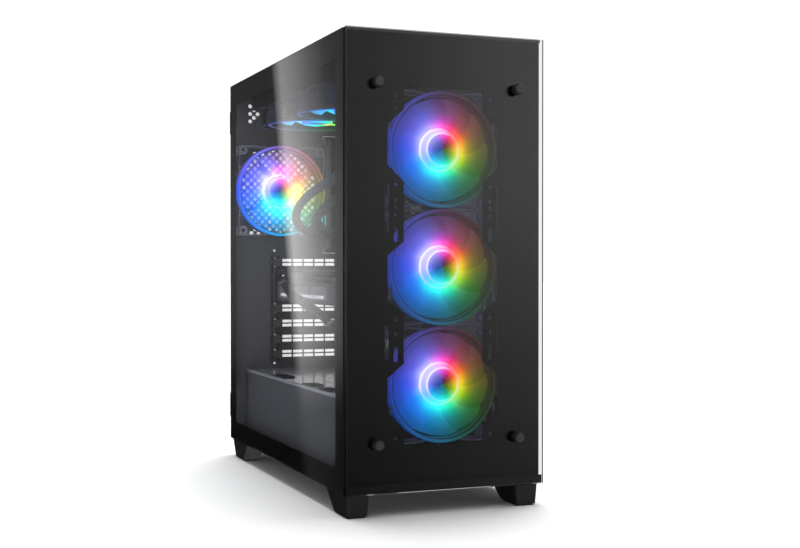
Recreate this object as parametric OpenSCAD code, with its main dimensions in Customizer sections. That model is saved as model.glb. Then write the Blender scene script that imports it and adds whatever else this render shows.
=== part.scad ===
// Desktop computer tower: steel mid-tower chassis with a glass front and a hinged glass door,
// liquid cooling, six fans, motherboard, graphics card and power supply.
// Row frame: +X to the right seen from the front, +Y to the back, +Z up.
// Origin on the floor, in the middle of the overall box. All sizes in millimetres.

/* [Overall] */
// Overall width, from the door's outer face to the right panel's outer face
case_w = 218; // [216:1:222]
// Height of the body above its feet
body_h = 463; // [461:1:470]
// Height of the feet
foot_h = 22; // [18:1:26]
// Thickness of the steel sheet
steel = 1.2; // [0.8:0.1:1.4]

/* [Glass] */
// Thickness of the front glass and the door glass
glass_t = 4; // [3:0.5:4]
// Radius of the knobs that hold the front glass
knob_r = 5.75; // [5:0.25:8]
// Distance of the knobs from the glass's side edges
knob_inset = 32; // [28:1:40]
// Width of the dark border bonded round the door glass
border_w = 27; // [20:1:32]

/* [Fans] */
// Spacing of the stacked front fans
fan_pitch = 120; // [120:0.5:121]
// Number of blades on each case fan
fan_blades = 9; // [7:1:11]
// Outer radius of a case fan's rotor
rotor_r = 53.4; // [50:0.2:53.6]

/* [Expansion slots] */
// Number of expansion slots
slot_count = 7; // [6:1:7]
// Pitch of the expansion slots
slot_pitch = 20.32; // [20.32]

/* [Hidden] */
$fn = 48;
e = 0.01;

hw = case_w / 2;              // half the width
zb = foot_h;                  // underside of the body
zt = foot_h + body_h;         // top of the body
y_gf = -230;                  // front face of the front glass
y_gb = y_gf + glass_t;        // back face of the front glass
y_pf = -219;                  // front face of the steel front plate
y_pb = y_pf + 1.5;            // back face of the steel front plate
y_rf = 228.8;                 // inner face of the rear panel
y_rb = y_rf + steel;          // outer face of the rear panel
x_l = -103;                   // left edge of the chassis sheets
x_r = hw - 1.2;               // right edge of the chassis sheets
fan_z = [zt - 117, zt - 117 - fan_pitch, zt - 117 - 2 * fan_pitch]; // front fan centres
rear_fan = [-43.5, 347.4];      // rear fan centre (x, z)
grille_z = 347.4;             // centre of the grille behind it
roof_fan_x = -40;
roof_fan_y = [66, -54];
rad_z0 = 444;                 // underside of the radiator
rad_z1 = 482;                 // top of the radiator
roof_z0 = zt - 1.5 - steel;   // underside of the roof plate
board_x = 68;                 // component side of the motherboard
tray_x = 77;                  // left face of the tray
shroud_z = 112.6;             // top of the power supply shroud
shroud_x = -86;               // outer face of the shroud's side wall
slot_z1 = 253.5;              // centre of the top expansion slot
hinge_x = -105;
hinge_y = 236.4;
psu_x0 = -52; psu_x1 = 98; psu_y0 = 78; psu_z0 = 24.6; psu_z1 = 110.6;
psu_fan = [23, 150];
psu_inlet_x = 74; psu_inlet_z = 66;
psu_sw_x = 74; psu_sw_z = 42;
gpu_y0 = -14; gpu_x0 = -50; gpu_x1 = 58;
gpu_fan = [[4, 160], [4, 50]];
pod_x0 = 22; pod_x1 = 102; pod_y0 = -216; pod_y1 = -192;
pwr = [88, -204]; rst = [70, -204]; usb_x = [34, 54];

function slot_z(k) = slot_z1 - slot_pitch * (k - 1);

// ---------- helpers ----------
module bx(x0, x1, y0, y1, z0, z1) translate([x0, y0, z0]) cube([x1 - x0, y1 - y0, z1 - z0]);
// flat plate in the X-Z plane, from y1 - t to y1, 2D x -> X, y -> Z
module plate_xz(y1, t) translate([0, y1, 0]) rotate([90, 0, 0]) linear_extrude(t) children();
// flat plate in the Y-Z plane, from x0 to x0 + t, 2D x -> Y, y -> Z
module plate_yz(x0, t) translate([x0, 0, 0]) rotate([90, 0, 90]) linear_extrude(t) children();
module plate_xy(z0, t) translate([0, 0, z0]) linear_extrude(t) children();
module rect(x0, x1, y0, y1) translate([x0, y0]) square([x1 - x0, y1 - y0]);
// slot with round ends, l long overall, w wide, along x
module oval(l, w) union() { square([l - w, w], center = true); for (s = [-1, 1]) translate([s * (l - w) / 2, 0]) circle(w / 2); }
// rod along an axis
module rod_y(x, y0, y1, z, r) translate([x, y1, z]) rotate([90, 0, 0]) cylinder(r = r, h = y1 - y0);
module rod_x(x0, x1, y, z, r) translate([x0, y, z]) rotate([0, 90, 0]) cylinder(r = r, h = x1 - x0);

// Swept round tube along smoothed points, one ring per point, sides flat
function lerp(a, b, t) = a + (b - a) * t;
function cat(p, i, t) = let (n = len(p) - 1, a = p[max(i - 1, 0)], b = p[i], c = p[min(i + 1, n)], d = p[min(i + 2, n)])
  0.5 * (2 * b + (c - a) * t + (2 * a - 5 * b + 4 * c - d) * t * t + (3 * b - a - 3 * c + d) * t * t * t);
function smooth(p, m) = [for (i = [0:len(p) - 2], j = [0:m - 1]) cat(p, i, j / m), p[len(p) - 1]];
function unit(v) = v / norm(v);
module sweep(path, r, sides) {
  n = len(path);
  tan = [for (i = [0:n - 1]) unit(path[min(i + 1, n - 1)] - path[max(i - 1, 0)])];
  // an upright reference that stays clear of the path's own direction
  side = [for (i = [0:n - 1]) unit(cross(tan[i], abs(tan[i][1]) > 0.9 ? [1, 0, 0.3] : [0.25, 1, 0.1]))];
  frame = parallel(tan, side[0], 1, [side[0]]);
  pts = [for (i = [0:n - 1], k = [0:sides - 1])
    let (a = 360 * k / sides, u = frame[i], v = cross(tan[i], u)) path[i] + r * (cos(a) * u + sin(a) * v)];
  polyhedron(points = pts, convexity = 6, faces = concat(
    [[for (k = [0:sides - 1]) k]],
    [[for (k = [sides - 1:-1:0]) (n - 1) * sides + k]],
    [for (i = [0:n - 2], k = [0:sides - 1]) [i * sides + k, (i + 1) * sides + k, (i + 1) * sides + (k + 1) % sides, i * sides + (k + 1) % sides]]));
}
// carries a side vector along the tangents without twist
function parallel(tan, u, i, out) = i >= len(tan) ? out :
  let (v = u - tan[i] * (u * tan[i]), w = unit(v)) parallel(tan, w, i + 1, concat(out, [w]));

// ---------- case fan, intake side towards +z, back at z = 0 ----------
module fan_frame_shape() {
  difference() {
    union() {
      cylinder(r = 59.5, h = 25, $fn = 96);
      for (a = [0:90:270]) rotate([0, 0, a]) {
        translate([52.5, 52.5, 0]) cylinder(r = 6.5, h = 4);
        translate([52.5, 52.5, 21]) cylinder(r = 6.5, h = 4);
        translate([52.5, 52.5, 0]) cylinder(r = 3.6, h = 25);
        // straight arms from the ring to each corner pad, with an open triangle between
        for (z = [0, 21]) {
          bx(14, 52.5, 56.4, 59.4, z, z + 4);
          bx(56.4, 59.4, 14, 52.5, z, z + 4);
        }
      }
    }
    translate([0, 0, 3.5]) cylinder(r = 54.5, h = 30, $fn = 96);
    difference() { translate([0, 0, -1]) cylinder(r = 54.5, h = 6, $fn = 96); fan_struts(); }
    for (a = [0:90:270]) rotate([0, 0, a]) translate([52.5, 52.5, -1]) cylinder(r = 2.1, h = 30);
  }
  difference() { translate([0, 0, 3]) cylinder(r = 4, h = 10); translate([0, 0, 3.5]) cylinder(r = 1.56, h = 12); }
}
module fan_struts() {
  translate([0, 0, -2]) cylinder(r = 20, h = 5.5);
  for (a = [25:90:340]) rotate([0, 0, a]) bx(15, 56, -2, 2, -2, 3.5);
}
module fan_rotor_shape(r, hub, n, z0, z1, tilt) {
  difference() {
    translate([0, 0, z0]) cylinder(r = hub, h = z1 - z0);
    translate([0, 0, z0 - 1]) cylinder(r = hub - 1.6, h = z1 - z0 - 1);
  }
  translate([0, 0, z0]) cylinder(r = 1.5, h = z1 - z0 - 1);
  intersection() {
    difference() {
      translate([0, 0, z0 + 1]) cylinder(r = r, h = z1 - z0 - 2, $fn = 96);
      translate([0, 0, z0]) cylinder(r = hub - 0.8, h = z1 - z0);
    }
    union() for (i = [0:n - 1]) rotate([0, 0, i * 360 / n])
      translate([(r + hub) / 2, 0, (z0 + z1) / 2]) rotate([tilt, 0, 0]) cube([r - hub + 8, 1.8, 2.2 * (z1 - z0)], center = true);
  }
}
module case_fan_rotor() fan_rotor_shape(rotor_r, 20, fan_blades, 5, 23.5, 52);
module face_front(x, y, z) translate([x, y, z]) rotate([90, 0, 0]) children();
module face_down(x, y, z) translate([x, y, z]) rotate([180, 0, 0]) children();

// ---------- chassis ----------
module floor_pan() color([0.07, 0.07, 0.075]) {
  difference() {
    plate_xy(zb, steel) difference() {
      rect(x_l, x_r, y_pb, y_rf);
      for (i = [-4:4], j = [-1, 1]) translate([psu_fan[0] + i * 12, psu_fan[1] + j * 26]) oval2(6, 44);
      for (sx = [-97.5, 89]) for (sy = [-212, 190]) translate([sx, sy]) circle(2.2);
    }
  }
  // turned-down edges
  bx(x_l, x_l + steel, -150, 140, zb - 0 + steel - e, zb + 9);
  bx(x_r - steel, x_r, -150, 140, zb + steel - e, zb + 9);
  // runners for the dust filter
  for (s = [0, 1]) {
    x = s ? 73 : -41.5;
    bx(x - 0.6, x + 0.6, 70, 226, zb - 5.2, zb + e);
    bx(s ? x - 2.4 : x - 0.6, s ? x + 0.6 : x + 2.4, 70, 226, zb - 5.2, zb - 4.2);
  }
  bx(-41.5, 73, 68.6, 69.8, zb - 5.2, zb + e);
}
module oval2(w, l) rotate([0, 0, 90]) oval(l, w);

module grille_points(cx, cz, d, p) {
  for (i = [-6:6], j = [-6:6], h = [0, 0.5]) {
    x = (i + h) * p;
    z = (j + h) * p;
    if (norm([x, z]) < 58.5 || (z < -50 && z > -58 && abs(x) < 45)) translate([cx + x, cz + z]) circle(d / 2);
  }
}
module rear_panel() color([0.07, 0.07, 0.075]) {
  plate_xz(y_rb, steel) difference() {
    rect(-102.4, x_r, zb + steel, roof_z0);
    grille_points(rear_fan[0], grille_z, 5.2, 10);
    // small vent above the rear fan
    for (i = [0:2], j = [0:2 - (i > 0 ? 1 : 0) - (i > 1 ? 1 : 0)]) translate([-80 + 5 * i, 440 + 5 * i + 10 * j]) circle(2.5);
    // input and output aperture
    rect(21, 65.5, 266, 424);
    for (k = [1:slot_count]) rect(-38.5, 57, slot_z(k) - 7.4, slot_z(k) + 7.4);
    for (k = [1, 4, 5, 6, 7]) for (s = [-1, 1]) translate([-47, slot_z(k) + s * 5.1]) circle(1.5);
    for (z = [slot_z(1) + 15.6, slot_z(slot_count) - 12.4]) translate([-47, z]) circle(1.5);
    // power supply aperture
    rect(psu_x0 + 5, psu_x1 - 5, psu_z0 + 5, psu_z1 - 6);
    for (sx = [-1, 1], sz = [-1, 1]) translate([rear_fan[0] + sx * 52.5, rear_fan[1] + sz * 52.5]) circle(2.2);
    for (z = [60, 250, 450]) translate([101, z]) circle(2.3);
  }
  // flange that takes the slot screws
  bx(-52.2, -51, 214, y_rf + e, slot_z(slot_count) - 10, slot_z(1) + 10);
  // left return
  bx(-102.4, -101.2, 218, y_rf + e, 90, 285);
}
module front_cutout() polygon(concat(
  [for (p = cut_half) [p[0], p[1]]], [for (i = [len(cut_half) - 1:-1:0]) [-cut_half[i][0], cut_half[i][1]]]));
// half outline of the tall air opening: narrow between the fans, wide across each fan
cut_off = [[38.8, 23.5, -17.5, -34], [25.9, 11.5, -32.5, -46.8], [22.9, 8.5, -25.3, -43.1]];
cut_half = concat([[44, fan_z[0] + 61.5]],
  [for (k = [0:2], i = [0:3]) [i == 1 || i == 2 ? 61.5 : 44, fan_z[k] + cut_off[k][i]]],
  [[44, fan_z[2] - 61.5]]);
module front_plate() color([0.06, 0.06, 0.065]) {
  plate_xz(y_pb, y_pb - y_pf) difference() {
    rect(x_l, x_r, zb + 0.2, roof_z0 + 2);
    front_cutout();
    for (s = [-1, 1]) {
      for (z = [281, 160]) translate([s * 52.5, z]) oval2(5, 15.5);
      for (z = [408, 331, 308]) translate([s * 52.5, z]) circle(2.2);
      translate([s * 62.25, 307.5]) oval2(5, 51);
      translate([s * 62.25, 172]) oval2(5, 36);
      for (z = [431, 72]) translate([s * (hw - knob_inset), z]) circle(2.6);
      for (c = fan_z, t = [-1, 1]) translate([s * 52.5, c + t * 52.5]) circle(2.2);
    }
  }
  bx(x_l, x_l + steel, y_pb - e, -206, zb + 10, roof_z0 - 10);
  bx(x_r - steel, x_r, y_pb - e, -206, zb + 10, roof_z0 - 30);
}
module board_tray() color([0.07, 0.07, 0.075]) {
  plate_yz(tray_x, steel) difference() {
    rect(-188, y_rf, shroud_z, roof_z0);
    rect(80, 180, 285, 385);
    for (z = [395, 330, 265, 160]) translate([-42, z]) oval2(26, 44);
    for (y = [20, 90, 160]) translate([y, 444]) oval(34, 18);
    translate([60, 118.5]) oval(30, 10);
    for (y = standoff_y, z = standoff_z) translate([y, z]) circle(1.6);
  }
  // rear flange
  bx(tray_x, tray_x + 12, y_rf - steel, y_rf, shroud_z + 4, 258);
}
standoff_y = [-12, 67, 216];
standoff_z = [130, 258, 420];
module roof_plate() color([0.07, 0.07, 0.075]) {
  plate_xy(roof_z0, steel) difference() {
    rect(x_l, x_r, y_pb, y_rf);
    for (i = [-6:6], j = [-4:4]) translate([roof_fan_x + i * 8.6, 6 + j * 27]) oval2(4.4, 21);
    rect(pod_x0 + 1.5, pod_x1 - 1.5, pod_y0 + 1.5, pod_y1 - 1.5);
  }
  bx(x_l, x_l + steel, -150, 150, roof_z0 - 5, roof_z0 + e);
  bx(x_r - steel, x_r, -150, 150, roof_z0 - 5, roof_z0 + e);
}
grommet = [[-74, 95.5, 46], [-74, -23.5, 34], [-74, -83, 34]];
module psu_shroud() color([0.08, 0.08, 0.085]) {
  plate_xy(shroud_z - steel, steel) difference() {
    rect(shroud_x, tray_x + 30, -188, y_rf);
    for (g = grommet) translate([g[0], g[1]]) oval2(16, g[2]);
    for (i = [0:7], j = [0:15]) translate([-44 + i * 14, -168 + j * 22]) oval(9, 3);
    // gap for the board's lower cables
    rect(79, 100, -120, 66);
  }
  plate_yz(shroud_x, steel) rect(-188, y_rf, zb + steel, shroud_z - steel + e);
}
module shroud_grommets() color([0.03, 0.03, 0.03]) for (g = grommet)
  translate([g[0], g[1], 0]) difference() {
    union() { plate_xy(shroud_z, 1.4) oval2(20, g[2] + 4); plate_xy(shroud_z - steel - 0.2, 1.6) oval2(15.8, g[2] - 0.2); }
    plate_xy(shroud_z - 6, 12) oval2(11.5, g[2] - 4.5);
  }
module drive_cage() color([0.1, 0.1, 0.1]) {
  bx(-56, 58, -178, -24, zb + steel, zb + 2 * steel);
  for (x = [-56, 56.8]) difference() {
    bx(x, x + steel, -178, -24, zb + steel, zb + 58);
    for (y = [-150, -100, -50]) rod_x(x - 1, x + 3, y, zb + 40, 9);
  }
}
module hard_drive() color([0.5, 0.5, 0.52]) {
  difference() {
    bx(-50, 51.6, -171, -30, zb + 12, zb + 38);
    rod_y(-40, -45, -29, zb + 20, 2);
  }
  translate([1, -95, zb + 38 - e]) cylinder(r = 40, h = 0.8);
  for (x = [-52.5, 51.6], y = [-150, -60]) rod_x(x - (x < 0 ? 2.3 : 0), x + (x < 0 ? 2.5 : 5.2), y, zb + 20, 1.9);
}
module foot(sx0, sx1, back) {
  // side outline: upright end towards the case end, long slope towards the middle
  pr = back ? [[219, 22], [207, 1.5], [169, 1.5], [150, 22]] : [[-230, 22], [-230, 1.5], [-192, 1.5], [-166.5, 22]];
  intersection() {
    plate_yz(sx0 - 5, sx1 - sx0 + 10) polygon([for (p = pr) [p[0], p[1] * foot_h / 22]]);
    plate_xz(240, 480) polygon([[sx0, foot_h], [sx0 + (sx0 > 0 ? 2 : 0.4), 1.5], [sx1 - 2, 1.5], [sx1, foot_h]]);
  }
}
module feet() color([0.05, 0.05, 0.05]) for (b = [false, true]) { foot(-108.6, -85, b); foot(76.5, 101.5, b); }
module foot_pads() color([0.02, 0.02, 0.02]) for (b = [0, 1], s = [0, 1])
  translate([s ? 79.8 : -106.6, b ? 171 : -228, 0]) linear_extrude(1.5) square([s ? 18 : 18, 34]);

// ---------- expansion slots ----------
module cover_plate(k) plate_xz(y_rf, 1) difference() {
  rect(-43, 61, slot_z(k) - 9.3, slot_z(k) + 9.3);
  for (i = [0:5], s = [-1, 1]) translate([-36.6 + 15 * i + 6.75, slot_z(k) + s * 2.7]) square([13, 3.7], center = true);
}
module slot_covers() color([0.1, 0.1, 0.1]) for (k = [1, 4, 5, 6, 7]) { cover_plate(k); bx(-43, -42, 217, y_rf, slot_z(k) - 8, slot_z(k) + 8); bx(-51, -43 + e, 217, 218, slot_z(k) - 5, slot_z(k) + 5); bx(-51, -50, 218 - e, 227, slot_z(k) - 5, slot_z(k) + 5); }
module slot_screws() color([0.6, 0.6, 0.62]) for (k = [1:slot_count]) {
  rod_x(-54.4, -52.2, 222.5, slot_z(k), 3.2);
}

// ---------- front glass ----------
module knob_places() for (s = [-1, 1], z = [zt - 54, zb + 50]) translate([s * (hw - knob_inset), 0, z]) children();
module front_glass() color([0.5, 0.55, 0.55, 0.35]) difference() {
  bx(-hw, hw, y_gf, y_gb, zb, zt);
  knob_places() rod_y(0, y_gf - 1, y_gb + 1, 0, 3.2);
}
module glass_standoffs() color([0.05, 0.05, 0.05]) knob_places() {
  rod_y(0, y_gb, y_pf, 0, 6);
  rod_y(0, y_gf - 5.5, y_gb + 1, 0, 2.5);
  rod_y(0, y_pf - 1, y_pb + 6, 0, 2.5);
}
module glass_knobs() color([0.04, 0.04, 0.04]) knob_places() difference() {
  union() { rod_y(0, -239.2, y_gf, 0, knob_r); rod_y(0, -240, -239.1, 0, knob_r - 0.8); }
  rod_y(0, y_gf - 6.5, y_gf + 1, 0, 2.55);
}

// ---------- hinged door ----------
door_y0 = -221; door_y1 = 232.4;
module door_glass() color([0.4, 0.42, 0.43, 0.3]) bx(-hw, -hw + glass_t, door_y0, door_y1, zb + 0.4, zt);
module door_frame() color([0.02, 0.02, 0.02]) plate_yz(-hw + glass_t, 0.8) difference() {
  rect(door_y0, door_y1, zb + 0.4, zt);
  rect(door_y0 + border_w, door_y1 - border_w, zb + border_w, zt - border_w);
}
module door_knuckles() color([0.05, 0.05, 0.05]) for (z = [[60.3, 81], [433.3, 452]]) difference() {
  union() {
    translate([hinge_x, hinge_y, z[0]]) cylinder(r = 3.5, h = z[1] - z[0]);
    bx(-104.2, -103.4, 210, hinge_y, z[0], z[1]);
  }
  translate([hinge_x, hinge_y, z[0] - 1]) cylinder(r = 2.05, h = z[1] - z[0] + 2);
}
module door_hinge_lugs() color([0.05, 0.05, 0.05]) for (z = [[50, 60], [423, 433]]) {
  translate([hinge_x, hinge_y, z[0]]) cylinder(r = 3.5, h = z[1] - z[0]);
  translate([hinge_x, hinge_y, z[1] - e]) cylinder(r = 2, h = 17);
  bx(hinge_x, -101.6, hinge_y - 1, hinge_y + 1, z[0], z[1]);
  bx(-102.6, -101.6, y_rb, hinge_y + 1, z[0], z[1]);
  bx(-102.6, -84, y_rb, y_rb + 1.2, z[0], z[1]);
  for (x = [-96, -89]) rod_y(x, y_rb + 1.1, y_rb + 2, (z[0] + z[1]) / 2, 2.2);
}
module door_pull_tab() color([0.03, 0.03, 0.03]) bx(-hw + 0.4, -hw + glass_t, door_y0 - 3.6, door_y0, 244, 258);
module door_magnets() color([0.45, 0.45, 0.47]) for (z = [90, 420]) bx(x_l + steel, x_l + steel + 3.2, -216, -207, z - 12, z + 12);

// ---------- right side panel ----------
module right_side_panel() color([0.07, 0.07, 0.075]) {
  bx(hw - 1, hw, -218.5, 231.4, zb + 0.4, roof_z0 + steel);
  difference() {
    bx(93, hw - 1 + e, 230.2, 231.4, zb + 14, roof_z0 - 8);
    for (z = [60, 250, 450]) rod_y(101, 229, 233, z, 2.2);
  }
}
module panel_thumbscrews() color([0.1, 0.1, 0.1]) for (z = [60, 250, 450]) {
  rod_y(101, 226, 231.5, z, 2);
  rod_y(101, 231.4, 239.2, z, 6);
  rod_y(101, 239.1, 240, z, 5.2);
}

// ---------- controls ----------
module control_pod() color([0.05, 0.05, 0.05]) difference() {
  union() {
    bx(pod_x0, pod_x1, pod_y0, pod_y1, zt - 1.5, zt - 0.5);
    bx(pod_x0 + 2, pod_x1 - 2, pod_y0 + 2, pod_y1 - 2, zt - 21, zt - 1);
  }
  // hollow for the switches and sockets
  bx(pod_x0 + 3.5, pod_x1 - 3.5, pod_y0 + 3.5, pod_y1 - 3.5, zt - 19.5, zt - 3);
  translate([pwr[0], pwr[1], zt - 5]) cylinder(r = 6.3, h = 8);
  translate([rst[0], rst[1], zt - 5]) cylinder(r = 3.3, h = 8);
  for (x = usb_x) bx(x - 7.4, x + 7.4, pwr[1] - 3.7, pwr[1] + 3.7, zt - 5, zt + 2);
}
module button(p, r) translate([p[0], p[1], 0]) {
  translate([0, 0, zt - 8]) cylinder(r = r, h = 8);
  translate([0, 0, zt - 8]) cylinder(r = r + 1.2, h = 2);
  translate([0, 0, zt - 14]) cylinder(r = 1.5, h = 7);
}
module power_button() color([0.1, 0.1, 0.1]) button(pwr, 6);
module reset_button() color([0.1, 0.1, 0.1]) button(rst, 3);
module usb_sockets() color([0.55, 0.57, 0.6]) for (x = usb_x) difference() {
  bx(x - 7.2, x + 7.2, pwr[1] - 3.5, pwr[1] + 3.5, zt - 17, zt - 0.5);
  bx(x - 6.6, x + 6.6, pwr[1] - 2.9, pwr[1] + 2.9, zt - 14, zt + 1);
}

// ---------- dust filters ----------
module psu_dust_filter() color([0.06, 0.06, 0.06]) translate([0, 0, zb - 4]) {
  difference() { bx(-40.5, 72, 70.2, 224, 0, 3.4); bx(-34.5, 66, 77, 216, 1, 5); for (i = [0:5], j = [0:6]) bx(-33.5 + i * 16.6, -19.5 + i * 16.6, 79 + j * 19.4, 95 + j * 19.4, -1, 3); }
  bx(4, 28, 224 - e, 229, 0, 3.4);
}
module roof_dust_filter() color([0.06, 0.06, 0.06]) plate_xy(zt - 1.5 + 0.02, 1.48) difference() {
  rect(-101, 98, -186, 214);
  for (i = [0:8], j = [0:17]) rect(-95 + i * 21, -77 + i * 21, -180 + j * 22, -162 + j * 22);
}

// ---------- fans ----------
module front_fan_frame_1() color([0.12, 0.12, 0.16]) face_front(0, y_pb + 25, fan_z[0]) fan_frame_shape();
module front_fan_frame_2() color([0.12, 0.12, 0.16]) face_front(0, y_pb + 25, fan_z[1]) fan_frame_shape();
module front_fan_frame_3() color([0.12, 0.12, 0.16]) face_front(0, y_pb + 25, fan_z[2]) fan_frame_shape();
module front_fan_rotor_1() color([0.6, 0.4, 0.9]) face_front(0, y_pb + 25, fan_z[0]) case_fan_rotor();
module front_fan_rotor_2() color([0.6, 0.4, 0.9]) face_front(0, y_pb + 25, fan_z[1]) case_fan_rotor();
module front_fan_rotor_3() color([0.6, 0.4, 0.9]) face_front(0, y_pb + 25, fan_z[2]) case_fan_rotor();
module rear_fan_frame() color([0.12, 0.12, 0.16]) face_front(rear_fan[0], y_rf, rear_fan[1]) fan_frame_shape();
module rear_fan_rotor() color([0.6, 0.4, 0.9]) face_front(rear_fan[0], y_rf, rear_fan[1]) case_fan_rotor();
module roof_fan_frame_1() color([0.12, 0.12, 0.16]) face_down(roof_fan_x, roof_fan_y[0], rad_z0) fan_frame_shape();
module roof_fan_frame_2() color([0.12, 0.12, 0.16]) face_down(roof_fan_x, roof_fan_y[1], rad_z0) fan_frame_shape();
module roof_fan_rotor_1() color([0.6, 0.4, 0.9]) face_down(roof_fan_x, roof_fan_y[0], rad_z0) case_fan_rotor();
module roof_fan_rotor_2() color([0.6, 0.4, 0.9]) face_down(roof_fan_x, roof_fan_y[1], rad_z0) case_fan_rotor();

// ---------- liquid cooler ----------
rad_y0 = -134; rad_y1 = 146;
module radiator() color([0.06, 0.06, 0.065]) {
  bx(-100, 20, rad_y0, rad_y0 + 20, rad_z0, rad_z1);
  bx(-100, 20, rad_y1 - 14, rad_y1, rad_z0, rad_z1);
  bx(-100, -97, rad_y0 + 19, rad_y1 - 13, rad_z0, rad_z1);
  bx(17, 20, rad_y0 + 19, rad_y1 - 13, rad_z0, rad_z1);
  for (i = [0:8]) bx(-97.5 + i * 13.3, -97.5 + i * 13.3 + 8.6, rad_y0 + 19, rad_y1 - 13, rad_z0 + 3, rad_z1 - 3);
  for (t = tube_ends) translate([t[0], t[1], rad_z0 - 8]) cylinder(r = 7, h = 9);
}
tube_ends = [[-34, -124], [-12, -124]];
// tube routes, from the radiator fittings round to the side of the pump block
tube_a = smooth([[-34, -124, 436], [-35, -124, 424], [-36, -121, 411], [-38, -106, 394], [-41, -70, 373], [-44, -20, 352], [-46, 35, 343], [-46, 92, 333], [-44, 136, 319], [-38, 154, 304], [-22, 158, 292], [2, 156, 290], [22, 146, 300], [30, 142, 310]], 4);
tube_b = smooth([[-12, -124, 436], [-13, -124, 424], [-14, -121, 411], [-17, -104, 391], [-20, -66, 368], [-24, -16, 344], [-27, 34, 329], [-28, 82, 318], [-25, 118, 306], [-16, 134, 294], [0, 136, 288], [16, 128, 296], [24, 124, 306], [28, 122, 312]], 4);
module coolant_tubes() color([0.03, 0.03, 0.03]) { sweep(tube_a, 5.6, 10); sweep(tube_b, 5.6, 10); }
pump_y = 132; pump_z = 336;
module pump_block() color([0.05, 0.05, 0.05]) difference() {
  union() {
    rod_x(36, 62, pump_y, pump_z, 31);
    rod_x(33.5, 36.1, pump_y, pump_z, 28);
    bx(62 - e, 65.5, pump_y - 28, pump_y + 28, pump_z - 28, pump_z + 28);
    for (p = [[30, 142, 310], [28, 122, 312]]) translate(p) rotate([0, 62, 0]) translate([0, 0, 0]) cylinder(r = 6.6, h = 14);
  }
}

// ---------- motherboard ----------
module motherboard() color([0.05, 0.055, 0.06]) {
  difference() {
    bx(board_x, board_x + 1.6, -20, 224, 122, 427);
    for (y = standoff_y, z = standoff_z) rod_x(board_x - 1, board_x + 3, y, z, 1.6);
  }
  for (y = standoff_y, z = standoff_z) { rod_x(board_x + 1.6 - e, tray_x, y, z, 3); rod_x(board_x - 2, board_x, y, z, 3.2); }
  // processor socket frame
  bx(board_x - 2.5, board_x + e, pump_y - 30, pump_y + 30, pump_z - 34, pump_z + 34);
  // memory slots
  for (i = [0:3]) bx(board_x - 6, board_x + e, 36 + i * 9.6, 42 + i * 9.6, 262, 402);
  // expansion connectors
  for (k = [2, 4, 6]) difference() {
    bx(board_x - 9, board_x + e, 84, 173, slot_z(k) + 1.6, slot_z(k) + 8.6);
    // groove for a card's edge
    bx(board_x - 10, board_x - 2.5, 87, 171, slot_z(k) + 4.72, slot_z(k) + 6.52);
  }
  // main power connector and drive connectors
  bx(board_x - 10, board_x + e, -18, -10, 300, 352);
  for (i = [0:2]) bx(board_x - 9, board_x + e, -18, 0, 170 + i * 18, 184 + i * 18);
}
module board_heatsinks() color([0.16, 0.16, 0.17]) {
  for (i = [0:7]) bx(board_x - 32, board_x - 1.5, 186, 202, 282 + i * 14, 292 + i * 14);
  bx(board_x - 8, board_x, 185, 203, 280, 392);
  for (i = [0:5]) bx(board_x - 30, board_x - 1.5, 96 + i * 14, 106 + i * 14, 396, 412);
  bx(board_x - 8, board_x, 94, 178, 395, 413);
  bx(board_x - 8, board_x, 10, 62, 140, 196);
}
module memory_sticks() color([0.1, 0.1, 0.1]) for (i = [1, 3])
  difference() { bx(board_x - 40, board_x - 6, 35.4 + i * 9.6, 42.6 + i * 9.6, 264, 398); for (z = [290, 331, 372]) bx(board_x - 41, board_x - 34, 30 + i * 9.6, 50 + i * 9.6, z - 6, z + 6); }
port_rows = [[274, 296, 40], [300, 318, 36], [322, 340, 40], [344, 362, 40], [366, 384, 36], [388, 416, 32]];
module rear_ports() color([0.3, 0.3, 0.32]) {
  // finishing plate with one opening per port row
  difference() {
    bx(21.3, 65.2, y_rf - 1, y_rf + 0.6, 266.3, 423.7);
    for (p = port_rows) bx(65 - p[2] + 2, 63, y_rf - 2, y_rf + 2, p[0] + 2, p[1] - 2);
  }
  // socket housings on the board
  for (p = port_rows) difference() {
    bx(65 - p[2], 65, 206, y_rf + 0.6, p[0], p[1]);
    bx(65 - p[2] + 2, 63, y_rf - 2.4, y_rf + 2, p[0] + 2, p[1] - 2);
  }
  bx(64.9, board_x, 206, y_rf - 1.5, 274, 416);
}

// ---------- graphics card ----------
module gpu_card() color([0.06, 0.06, 0.06]) {
  // circuit board with its edge connector
  bx(gpu_x0 + 2, gpu_x1, gpu_y0 + 6, y_rf - 1, 238, 239.6);
  bx(gpu_x1 - e, 65, 88, 170, 238, 239.6);
  // stiffening plate on top
  bx(gpu_x0, gpu_x1 - 2, gpu_y0, 222, 239.6, 242.6);
  // two-slot bracket
  plate_xz(y_rf, 1) difference() {
    rect(-43, 61, slot_z(3) - 9.3, slot_z(2) + 9.3);
    for (i = [0:5]) translate([-30 + i * 15, slot_z(3) + 1]) square([11, 7], center = true);
    for (i = [0:1], j = [0:3]) translate([-40 + 5 * i, slot_z(3) - 5 + j * 9]) square([3, 4], center = true);
  }
  bx(-51, -42.9, 217, 218, slot_z(2) - 5, slot_z(2) + 5);
  bx(-51, -50, 218 - e, 227, slot_z(2) - 5, slot_z(2) + 5);
  bx(-43, -42, 217, y_rf - e, slot_z(2) - 5, slot_z(2) + 5);
  // display sockets
  for (i = [0:3]) bx(-26 + i * 20, -10 + i * 20, 208, y_rf - e, slot_z(2) - 4.5, slot_z(2) + 3);
  // power socket
  bx(gpu_x0 - 1, gpu_x0 + 7, 86, 106, 229, 238 + e);
}
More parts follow.
